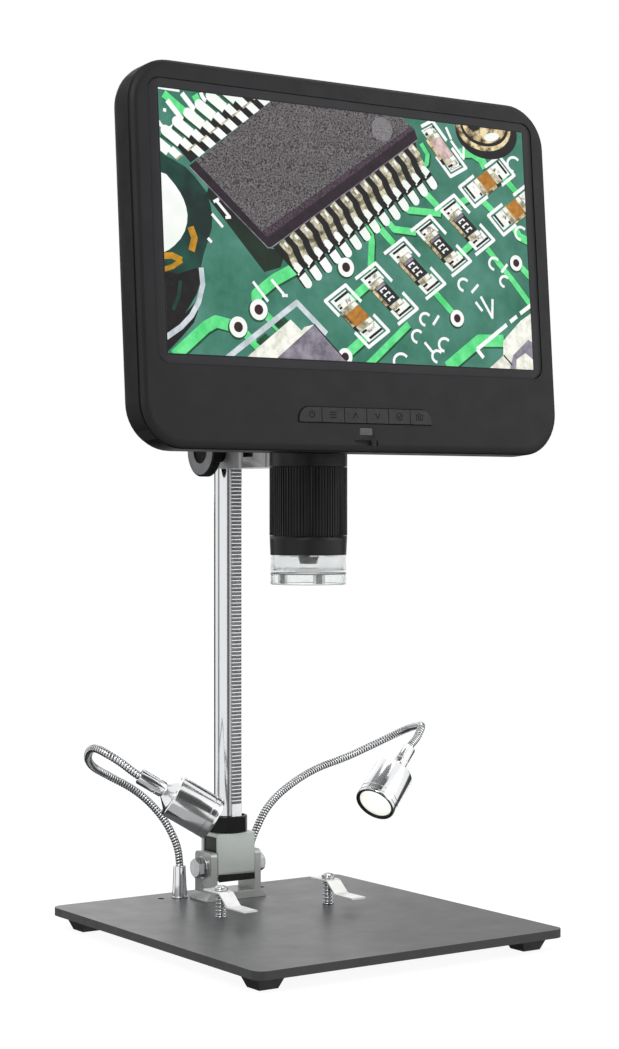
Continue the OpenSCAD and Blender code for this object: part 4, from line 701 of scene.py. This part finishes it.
class Picture:
    """Flat printed shapes on the screen, in layers; key names the colour."""

    def __init__(self):
        self.bm = bmesh.new()
        self.keys = list(PICTURE)

    def poly(self, key, points, layer, room=0.0):
        points = clip([tuple(p) for p in points], HALF_W + room, HALF_H + room)
        if len(points) >= 3:
            n = LAYER_0 + LAYER_STEP * layer
            f = self.bm.faces.new([self.bm.verts.new(on_screen(x, y, n) * MM) for x, y in points])
            f.material_index = self.keys.index(key)

    def bar(self, key, a, b, width, layer):
        a, b = Vector(a), Vector(b)
        d = (b - a).normalized()
        n = Vector((-d.y, d.x)) * width / 2
        self.poly(key, (a - n, b - n, b + n, a + n), layer)

    def disc(self, key, at, r, layer, parts=28, squeeze=1.0, turn=0.0):
        c, s = math.cos(turn), math.sin(turn)
        pts = []
        for k in range(parts):
            x, y = r * math.cos(2 * PI * k / parts), r * squeeze * math.sin(2 * PI * k / parts)
            pts.append((at[0] + x * c - y * s, at[1] + x * s + y * c))
        self.poly(key, pts, layer)

    def line(self, key, points, width, layer):
        for a, b in zip(points, points[1:]):
            self.bar(key, a, b, width, layer)
        for p in points[1:-1]:
            self.disc(key, p, width / 2, layer + 0.4, 16)

    def slab(self, key, at, a, b, across, layer):
        """Band that starts at two places, a and b from at, and is as wide as the vector across."""
        a, b = at + Vector(a), at + Vector(b)
        self.poly(key, (a, a + across, b + across, b), layer)

    def via(self, at, r, layer):
        self.disc("edge", (at[0] - 0.3, at[1] - 0.5), r * 1.1, layer - 1)
        self.disc("white", at, r, layer)
        self.disc("hole", at, r * 0.5, layer + 2)

    def chip(self, at, turn, key, half=5.2, wide=3.1, skew=0.27, size=(14.1, 6.3)):
        """Chip component in its printed brackets: body, two caps, soldered pads."""
        c, n = math.cos(turn), math.sin(turn)
        w, h = size

        def spot(x, y):
            x += skew * y
            return at[0] + x * c - y * n, at[1] + x * n + y * c

        def box(kind, x0, x1, y0, y1, layer):
            self.poly(kind, [spot(x0, y0), spot(x1, y0), spot(x1, y1), spot(x0, y1)], layer)
        for e in (-1, 1):
            box("white", e * 6.4, e * (w - 1.6), -h + 1.6, h - 1.7, 7)
            box("shade", e * (w - 3.4), e * (w - 2.2), -0.5 * h, 0.75 * h, 8)
            box("solder", e * half, e * (half + 5.6), -wide - 0.2, wide - 0.2, 9)
            box("shade", e * (half + 3.2), e * (half + 4.3), -wide, -wide + 2.1 + e * 0.6, 10)
            box("steel", e * half, e * (half + 2.9), -wide - 0.3, wide + 0.4, 11)
            box("white", e * (half + 0.3), e * (half + 2.3), wide - 2.2, wide + 0.1, 12)
        box("shade", -half - 1.2, half + 2.0, -wide - 1.7, wide, 8.5)
        box("gold", -half - 1.6, half - 0.8, -wide - 1.5, -wide + 0.3, 10)
        box(key, -half, half, -wide, wide + 0.3, 11.5)
        brackets = {"chip": ([(-14, -h), (-14, h), (-3, h)], [(4, h), (14, h), (14, -h)]),
                    "tan": ([(-4, h), (-w, h), (-w, -h), (-5, -h)], [(4, h), (w, h), (w, -h), (5, -h)]),
                    "pink": ([(-2, h), (-w, h), (-w, -h * 0.4)], [(2, h), (w, h), (w, -h), (2, -h)])}
        for points in brackets[key]:
            self.line("silk", [spot(*p) for p in points], 1.5, 6)
        if key == "chip":
            box("grey", -half + 0.2, -half + 1.4, -wide + 0.5, wide - 0.2, 12)
            for x in (-2.4, 0.2, 2.8):
                box("white", x - 0.75, x + 0.75, -1.7, -0.9, 13)
                box("white", x - 0.75, x + 0.75, 0.9, 1.7, 13)
                box("white", x - 0.75, x - 0.1, -1.7, 1.7, 13)


def arc(at, r, a0, a1, parts=20, squeeze=1.0):
    angles = [math.radians(a0 + (a1 - a0) * k / parts) for k in range(parts + 1)]
    return [(at[0] + r * math.cos(a), at[1] + r * squeeze * math.sin(a)) for a in angles]


pic = Picture()
whole = [(-99, -58), (99, -58), (99, 58), (-99, 58)]
pic.poly("shade", whole, -1, 0.55)
pic.poly("board", whole, 0)

# printed tracks, each over its own dark edge
for pts, width in (
        ([(7.2, 5), (8.3, -1.6), (7, -14)], 3.2), ([(9.4, 7.5), (19.8, -1.9)], 3.2),
        ([(14.4, 10.5), (20.4, 4.4), (32, 4)], 3), ([(22.9, 17.5), (28.6, 13.3), (46, 13.2)], 3),
        ([(34, 24.9), (47, 14)], 3.2), ([(-50.9, -32.8), (-51.1, -27.7), (-42.3, -21.3), (-32, -16)], 5),
        ([(-47.6, -35.2), (-36, -45)], 3.6),
        ([(-60, -41.6), (-71.1, -39.6), (-75.9, -42.1), (-90.9, -54.3)], 5),
        ([(-60.2, -41), (-48.9, -51.6)], 3.6), ([(53.2, 16.8), (62.4, 21.4)], 3),
        ([(58, 40.8), (65, 41.5), (70, 39.2), (72.3, 35.5)], 4.2),
        ([(82, 32.4), (90, 25.3)], 3), ([(70, 20.4), (75.4, 16.4)], 3), ([(5, -20.5), (-4, -27.2)], 3.6),
        ([(4, -42), (-8.7, -51.5)], 4), ([(26, -36.2), (3.3, -54.8)], 3.2),
        ([(40, -20.8), (51.4, -31.2)], 3), ([(63, 1.4), (54, -5.4)], 3),
        ([(71, -0.6), (84.9, -14), (96, -26)], 2.8), ([(78, -41), (64.2, -41.5), (46, -54)], 5.4),
        ([(88.2, -6.1), (96, -12.7)], 3), ([(-91.5, 51), (-75, 39.8)], 3.4), ([(-77, 52), (-72, 44)], 3.2),
        ([(37.5, 33), (39.6, 34.6), (40.3, 38.5), (37, 43)], 2.2), ([(86, 11), (90, 6), (96, 4)], 3.6)):
    pic.line("edge", [(x + 0.5, y - 0.5) for x, y in pts], width + 0.5, 1)
    pic.line("trace", pts, width, 2)

# round can at the left edge, out of focus, with its dark foot and silver lip
pic.poly("deep", [(-96, 26.7), (-93.8, 26.7), (-88.1, 24.6), (-82.5, 22.1), (-78.4, 18.6), (-73, 12.7),
                  (-71.3, 7), (-70.8, 2.2), (-71.4, -2.1), (-73.4, -7.4), (-75.6, -12.7), (-77, -17.5),
                  (-79, -22.8), (-96, -23.8)], 3)
pic.poly("white", [(-96, 19.4), (-91.7, 18.4), (-89.7, 16.4), (-87.6, 14.2), (-85.6, 11.6), (-84.1, 9),
                   (-83, 6), (-82.5, 2.7), (-82.9, -0.6), (-84.1, -4), (-86.2, -7.2), (-89.2, -10.1),
                   (-91.7, -11.9), (-96, -14)], 5)
pic.poly("shade", [(-96, -20.2), (-88, -21.4), (-77.2, -17.8), (-77.4, -23.2), (-79.6, -29), (-83.9, -35.3),
                   (-88.4, -40.4), (-96, -47)], 4)
pic.poly("shade", [(-79, -31), (-79.3, -35.9), (-81.5, -40.7), (-87.7, -47), (-96, -54.5), (-96, -47)], 4.4)
pic.line("pale", [(-77.1, -18.2), (-76.6, -25), (-78.9, -32.3), (-82.4, -37.8), (-87.5, -42.6), (-96, -48)],
         2.3, 5)
pic.line("deep", [(-87, -24), (-88, -30), (-91, -36)], 1.6, 5)
pic.line("amber", [(-81.3, -2), (-79.7, -6.5), (-81.3, -11.7)], 3, 6)
pic.line("amber", [(-95, -14.6), (-90.4, -14.2), (-86, -15.8)], 2.6, 6)
pic.line("amber", [(-86, -15.8), (-90.4, -18.6), (-95, -20.2)], 2, 6)

# package: shadow on the board, leads along two edges, sides and speckled top
pic.poly("dark", [(-73.4, 11.4), (-46.8, -18.2), (-38.7, -15.7), (-36, -9), (-44.5, -8.1), (-72, 15)], 6)
u, v = Vector((5.28, 3.57)), Vector((-37.1, -5.7))
pic.poly("shade", (v + Vector((-5, -2)), v + Vector((6.4, -12.6)), v + Vector((8.6, -12)) + u * 12.6,
                   v + Vector((0, 2)) + u * 13.4), 7)
for i in range(14):
    p = v + u * i
    b, c, d, e = (p + Vector(q) for q in ((2.9, -2.6), (4.3, -5.6), (5.9, -8.7), (8.4, -10.9)))
    pic.bar("shade", p + Vector((7.6, -11.4)), p + Vector((11.9, -16.4)), 5.2, 7)
    pic.bar("steel", p + Vector((-0.8, 0.8)), b, 3.4, 9)
    pic.bar("umber", b, c, 2.9, 9.5)
    pic.disc("steel", b, 1.7, 10, 14)
    pic.bar("steel", c, d, 3.1, 9.2)
    pic.bar("white", d, e, 3.2, 10)
    pic.disc("white", d, 1.3, 10.2, 12)
    pic.bar("white", p + Vector((0.7, 0.4)), p + Vector((2.3, -1.1)), 1.1, 10.5)
    foot, tip = p + Vector((8.9, -12.6)), p + Vector((11.6, -15.9))
    if i in (3, 6, 7, 8, 10, 12, 13):
        tip = foot + (tip - foot) * 0.82
        pic.bar("white", foot, tip + (tip - foot) * 0.5, 2.7, 8)
    pic.bar("white", foot, tip, 4.1, 8)
    pic.disc("white", tip, 2.05, 8.4, 16)
    pic.disc("shade", p + Vector((8.2, -12.2)), 0.7, 11, 8)
    pic.disc("white", p + Vector((7.1, -12.4)), 0.45, 11, 8)
pic.bar("white", v + u * 3 + Vector((11, -15)), (-7.6, -11.4), 2.6, 8)
u, v = Vector((5.45, 4.03)), Vector((-76.1, 26.7))
pic.poly("shade", (v + Vector((-4, -2.6)), v + u * 8, v + u * 8 + Vector((-8, 5)), v + Vector((-10.4, 3.6))),
         7)
for i in range(-1, 8):
    p = v + u * i
    across = u * 0.54
    if i >= 0:
        pic.slab("white", p, (0, 0), (-3.9, 2.8), across, 9)
        pic.slab("steel", p, (-3.9, 2.8), (-4.5, 3.2), across, 9)
    pic.slab("white", p, (-5.6, 2.4), (-9.4, 5.2), across, 9)
    pic.slab("steel", p, (-4.9, 1.9), (-5.6, 2.4), across, 9)
    pic.bar("edge", p + Vector((-8.6, 5.2)), p + Vector((-16.6, 9)), 5.6, 7.5)
    pic.bar("white", p + Vector((-8.6, 5.2)), p + Vector((-15.2, 9.4)), 4.5, 8)
    pic.disc("white", p + Vector((-15.2, 9.4)), 2.25, 8.4, 16)
pic.poly("side", [(-77.7, 25.1), (-44.9, -3.7), (-42.6, -7.4), (-44.5, -8.1), (-81.1, 22.6)], 12)
pic.poly("side", [(-44.9, -3.7), (33.6, 48.8), (35.2, 44.5), (-42.6, -7.4)], 12)
pic.line("grey", [(-81.1, 22.6), (-44.5, -8.1), (-42.6, -7.6), (35.2, 44.5)], 0.4, 12.5)
pic.poly("body", [(-77.7, 25.1), (-44.9, -3.7), (33.6, 48.8), (28.2, 52.7), (15.4, 61.1), (-30, 61.1)], 13)
pic.poly("low", [(-44.9, -3.7), (33.6, 48.8), (31.9, 50.1), (-47.4, -1.5)], 14)
pic.disc("dot", (16.2, 47.2), 5.4, 15, 32, 0.95)

# chip components
for at in ((14.9, -23.7), (30.5, -12), (45.3, -1.2), (59, 9)):
    pic.chip(at, -0.71, "chip")
pic.chip((-1, -34), -0.71, "tan", 3.6, 3.9)
for at in ((72.7, 29.6), (88.2, 18.2)):
    pic.chip(at, 0.6, "tan", 3.4, 3.7, -0.2, (14.1, 5.6))
pic.chip((48, 41.8), -0.83, "pink", 5, 2.9, 0.27, (13, 4.8))
for at, r in (((-50.3, -33.8), 4.3), ((-60.5, -41.4), 4.3), ((-5.7, -13.6), 4.1), ((52.4, -32.3), 3.7),
              ((87.1, -5.9), 3.5), ((-8.1, -51.5), 3.7)):
    pic.via(at, r, 6)

# plain printed strokes beside the components
for x, y, r in ((35, -33.6, 2.9), (30.3, -41.2, 2.9), (56.8, -17.4, 2.9), (74.6, -7, 2.9), (80, -14.6, 2.6),
                (44.8, -44.2, 3.1), (40.6, -49.4, 2.8), (21.1, -52.6, 4), (88.4, 38.4, 3.6),
                (90.6, 7.6, 3.2)):
    pic.line("silk", arc((x, y), r, 40, 265, 14, 0.9), 1.2, 7)
for pts in ([(39, -35.8), (42.4, -31.6)], [(34, -43.6), (38.2, -47.8)], [(61, -20.6), (65, -16.8)],
            [(63, -24.6), (66.6, -28.4)], [(66, -22), (72, -31), (72.6, -22.8)], [(78.4, -10.6), (82, -6.8)],
            [(53.4, 45.8), (60, 38.6), (60.8, 48)], [(51, 51.5), (53.6, 46.4)],
            [(-52.6, -22.4), (-45.6, -30.2)], [(-43.6, -21), (-37.4, -27.2)],
            [(-38.6, -27.4), (-35.8, -27.2)], [(-70, 9), (-67.4, 10.4)], [(-69, 10), (-62.6, 3.4)],
            [(-64.6, 3), (-62, 3.4)], [(-71, 4), (-66, -1)], [(-73.4, -6), (-71.6, -7.6)]):
    pic.line("silk", pts, 1.25, 7)
for pts, width in (([(-90, 48.4), (-83, 41)], 2.3), ([(-83, 52), (-76.6, 45)], 2.3),
                   ([(-92, 44.4), (-90.6, 44.2)], 1.4), ([(-96, 54), (-84, 53.6)], 2.6)):
    pic.line("silk", pts, width, 7)
pic.line("silk", arc((-90.6, 41), 4, 200, 350, 14), 1.5, 7)
pic.line("silk", arc((-69.6, 54), 4.4, 190, 340, 14), 1.8, 7)

# connectors at the lower edge and a plated ring at the upper edge
pic.line("pale", [(-67, -54.6), (-31.4, -29.9), (-17.1, -42.2)], 2.4, 7)
pic.poly("cream", [(-59, -55), (-34.9, -37.1), (-29.6, -41.5), (-28.2, -39.9), (-23.2, -38.6), (-41.2, -55)],
         8)
pic.poly("grey", [(-44.5, -55), (-23.2, -38.6), (-7, -54)], 9)
pic.line("shade", [(-23.4, -38.4), (-8.4, -52.6)], 0.6, 10)
pic.line("cream", [(-46, -53), (-30, -41.8)], 2.6, 10)
for x, y in ((-43.2, -39.6), (-52.4, -47)):
    pic.poly("edge", [(x, y), (x + 5, y + 3.6), (x + 7.6, y + 1.6), (x + 2.6, y - 2)], 7)
for a, b in (((62.6, -45.4), (66, -49)), ((62.6, -45.4), (80, -33.8)), ((82, -32.4), (86, -29.8)),
             ((88, -28.4), (95, -24))):
    pic.line("silk", [a, b], 1.8, 9)
pic.poly("cream", [(67, -55), (77.2, -47.6), (77.6, -41), (88.1, -31.6), (96, -27), (96, -55)], 8)
pic.poly("grey", [(80, -55), (83, -47), (92, -40), (96, -42), (96, -55)], 9)
pic.poly("cream", [(84, -55), (84.6, -49), (90, -46), (96, -50), (96, -55)], 10)
pic.line("shade", [(77.4, -47.4), (82, -51.6)], 0.7, 11)
for key, at, r, layer, squeeze in (
        ("shade", (73.6, 51.6), 17.4, 8, 0.7), ("gold", (72, 53.4), 15.4, 9, 0.68),
        ("shade", (72.4, 53.9), 13.4, 10, 0.66), ("gold", (72.4, 54.6), 12.3, 11, 0.66)):
    pic.disc(key, at, r, layer, 40, squeeze)
pic.disc("white", (76.4, 49.6), 4.4, 12, 16, 0.42, 0.2)
pic.disc("shade", (66.6, 53.6), 3.6, 12, 16, 0.6)

bmesh.ops.triangulate(pic.bm, faces=[f for f in pic.bm.faces if len(f.verts) > 4])
picture = new_piece("screen_picture", pic.bm, list(PICTURE.values()), "display", (), 0)
for p in [p for p in picture.data.polygons if p.normal.dot(OUT) < 0]:
    p.flip()


KEY_Y, KEY_STEP, KEY_TOP = -76.1, 11.4, 0.6
INK, OVER = 0.03, 0.0006      # half the print's thickness; each bar lies a little over the one before
SHIFT = {"power": 0.8, "camera": -0.8}
# strokes of each key's sign, about its middle: (closed, width, points)
SIGNS = {
    "power": [(False, 0.34, arc((0, 0), 1.25, 125, 415)), (False, 0.34, [(0, 0.2), (0, 1.7)])],
    "menu": [(False, 0.4, [(-1.5, d), (1.5, d)]) for d in (-1.1, 0, 1.1)],
    "up": [(False, 0.4, [(-1.1, -1), (0, 1.1), (1.1, -1)])],
    "down": [(False, 0.4, [(-1.1, 1), (0, -1.1), (1.1, 1)])],
    "ok": [(True, 0.32, arc((0, 0), 1.5, 0, 342)), (False, 0.34, [(-0.7, 0), (-0.15, -0.6), (0.75, 0.6)])],
    "camera": [(True, 0.3, [(-1.7, -1.2), (1.7, -1.2), (1.7, 0.9), (0.7, 0.9), (0.4, 1.4), (-0.4, 1.4),
                            (-0.7, 0.9), (-1.7, 0.9)]), (True, 0.28, arc((0, -0.15), 0.62, 0, 340, 14))],
}
for i, (key, strokes) in enumerate(SIGNS.items()):
    middle = 1 + (i - 2.5) * KEY_STEP + SHIFT.get(key, 0)
    n = KEY_TOP
    bm = bmesh.new()
    for closed, width, pts in strokes:
        pts = [Vector((middle + x, KEY_Y + y)) for x, y in pts]
        for a, b in zip(pts, pts[1:] + pts[:1] if closed else pts[1:]):
            d = (b - a).normalized()
            e, m = d * width * 0.35, Vector((-d.y, d.x)) * width / 2
            corners = a - e - m, b + e - m, b + e + m, a - e + m
            skin(bm, [[on_screen(*p, n + ink) for p in corners] for ink in (-INK, INK)])
            n += OVER
    new_piece(f"mark_{key}", bm, [M["mark"]], f"key_{key}")


# ---------------- studio

# the pinhole camera that was fitted to the photograph
cam = bpy.data.cameras.new("camera")
cam.lens = 75.18
cam.sensor_width = 36
cam.shift_y = -0.01563
eye = link("camera", cam)
eye.location = (-0.5369, -0.7904, 0.1880)
eye.rotation_euler = (PI / 2, 0, -0.6005)
bpy.context.scene.camera = eye


def seen(tree):
    """1 for rays from the camera, from mirrors and through glass; 0 for light that falls on things."""
    path = add(tree, "ShaderNodeLightPath")
    value = path.outputs["Is Camera Ray"]
    for kind in ("Is Glossy Ray", "Is Transmission Ray"):
        n = add(tree, "ShaderNodeMath")
        n.operation = "MAXIMUM"
        tree.links.new(value, n.inputs[0])
        tree.links.new(path.outputs[kind], n.inputs[1])
        value = n.outputs[0]
    return value


def stage_piece(name, points, faces, mat):
    me = bpy.data.meshes.new(name)
    me.from_pydata(points, [], faces)
    me.materials.append(mat)
    o = link(name, me)
    return o


def pale_floor():
    """White where it is seen, with a share of plain grey that keeps the shadow."""
    grey, glow, share = 0.9, 1.085, 0.86
    m, t = new_material("pale_floor", empty=True)
    out = add(t, "ShaderNodeOutputMaterial")
    diffuse = add(t, "ShaderNodeBsdfDiffuse", Color=(grey, grey, grey, 1))
    light = add(t, "ShaderNodeEmission", Strength=glow)
    both = add(t, "ShaderNodeMixShader")
    scale = add(t, "ShaderNodeMath")
    scale.operation = "MULTIPLY"
    scale.inputs[1].default_value = share
    t.links.new(seen(t), scale.inputs[0])
    t.links.new(scale.outputs[0], both.inputs["Fac"])
    t.links.new(diffuse.outputs[0], both.inputs[1])
    t.links.new(light.outputs[0], both.inputs[2])
    t.links.new(both.outputs[0], out.inputs["Surface"])
    return m


FLOOR = 4      # metres, half its width
floor = stage_piece("floor", [(-FLOOR, -FLOOR, 0), (FLOOR, -FLOOR, 0), (FLOOR, FLOOR, 0), (-FLOOR, FLOOR, 0)],
                    [(0, 1, 2, 3)], pale_floor())
floor.visible_glossy = False


def card(name, side, height, shade, far=1.6):
    """Grey card that only mirrors see, as a patch of a sphere: side and height are its spans in degrees,
    side from the camera's direction towards the right of the picture, height from the horizon."""
    m, t = new_material(name, empty=True)
    out = add(t, "ShaderNodeOutputMaterial")
    e = add(t, "ShaderNodeEmission", Color=(shade, shade, shade, 1))
    t.links.new(e.outputs[0], out.inputs["Surface"])
    back, right, middle = Vector((-0.565, -0.825, 0)), Vector((0.825, -0.565, 0)), Vector((0, 0.05, 0.1))
    parts = 8
    row = parts + 1
    points = []
    for i in range(row):
        w = math.radians(side[0] + (side[1] - side[0]) * i / parts)
        flat = back * math.cos(w) + right * math.sin(w)
        for j in range(row):
            h = math.radians(height[0] + (height[1] - height[0]) * j / parts)
            points.append(middle + (flat * math.cos(h) + Vector((0, 0, math.sin(h)))) * far)
    o = stage_piece(name, points, [(i * row + j, (i + 1) * row + j, (i + 1) * row + j + 1, i * row + j + 1)
                                   for i in range(parts) for j in range(parts)], m)
    o.visible_camera = o.visible_diffuse = o.visible_shadow = o.visible_transmission = False


for name, *looks in (
        ("far_left", (-165, -126), (-20, 12), 0.03),
        ("top", (-180, 180), (69, 89.9), 0.16, 0.8),
        ("top_left", (-160, -125), (47, 71), 0.3, 0.8),
        ("left", (-90, -73), (-20, 60), 0.3),
        ("front", (-6, 16), (-20, 9), 0.14),
        ("front_right", (-4, 48), (9, 46), 0.06),
        ("right", (119, 146), (-20, 40), 0.05),
        ("low_left", (-165, -60), (-62, -22), 0.04, 1.5),
        ("low_front", (-58, 12), (-58, -20), 0.45, 1.5),
        ("behind", (143, 167), (25, 46), 0.05),
        ("low", (-180, 180), (-90, -62), 0.06, 1.5),
        ("low_right", (105, 170), (-50, -20), 0.05, 1.5),
        ("back_right", (150, 176), (4, 22), 0.5),
        ("back_glow", (186, 215), (3, 26), 1.4)):
    card("card_" + name, *looks)

world = bpy.data.worlds.new("studio")
bpy.context.scene.world = world
world.use_nodes = True
tree = world.node_tree
sky = tree.nodes["Background"]
sky.inputs["Color"].default_value = (1, 1, 1, 1)
# what falls on things is dimmer than what is seen
strength = add(tree, "ShaderNodeMapRange", To_Min=0.55, To_Max=1.0)
tree.links.new(seen(tree), strength.inputs["Value"])
tree.links.new(strength.outputs["Result"], sky.inputs["Strength"])


def area(name, at, target, size, power):
    d = bpy.data.lights.new(name, "AREA")
    d.shape = "RECTANGLE"
    d.size, d.size_y = size
    d.energy = power
    o = link(name, d)
    o.location = at
    o.rotation_euler = (Vector(target) - Vector(at)).to_track_quat("-Z", "Y").to_euler()


area("key", (-1.1, -0.9, 1.3), (0, 0, 0.18), (0.9, 0.9), 14)
area("fill", (1.0, -1.0, 0.8), (0, 0, 0.2), (1.0, 1.0), 6)
area("top", (0.1, 0.3, 1.6), (0, 0, 0.1), (1.0, 1.0), 7)

bpy.context.scene.view_settings.view_transform = "Standard"
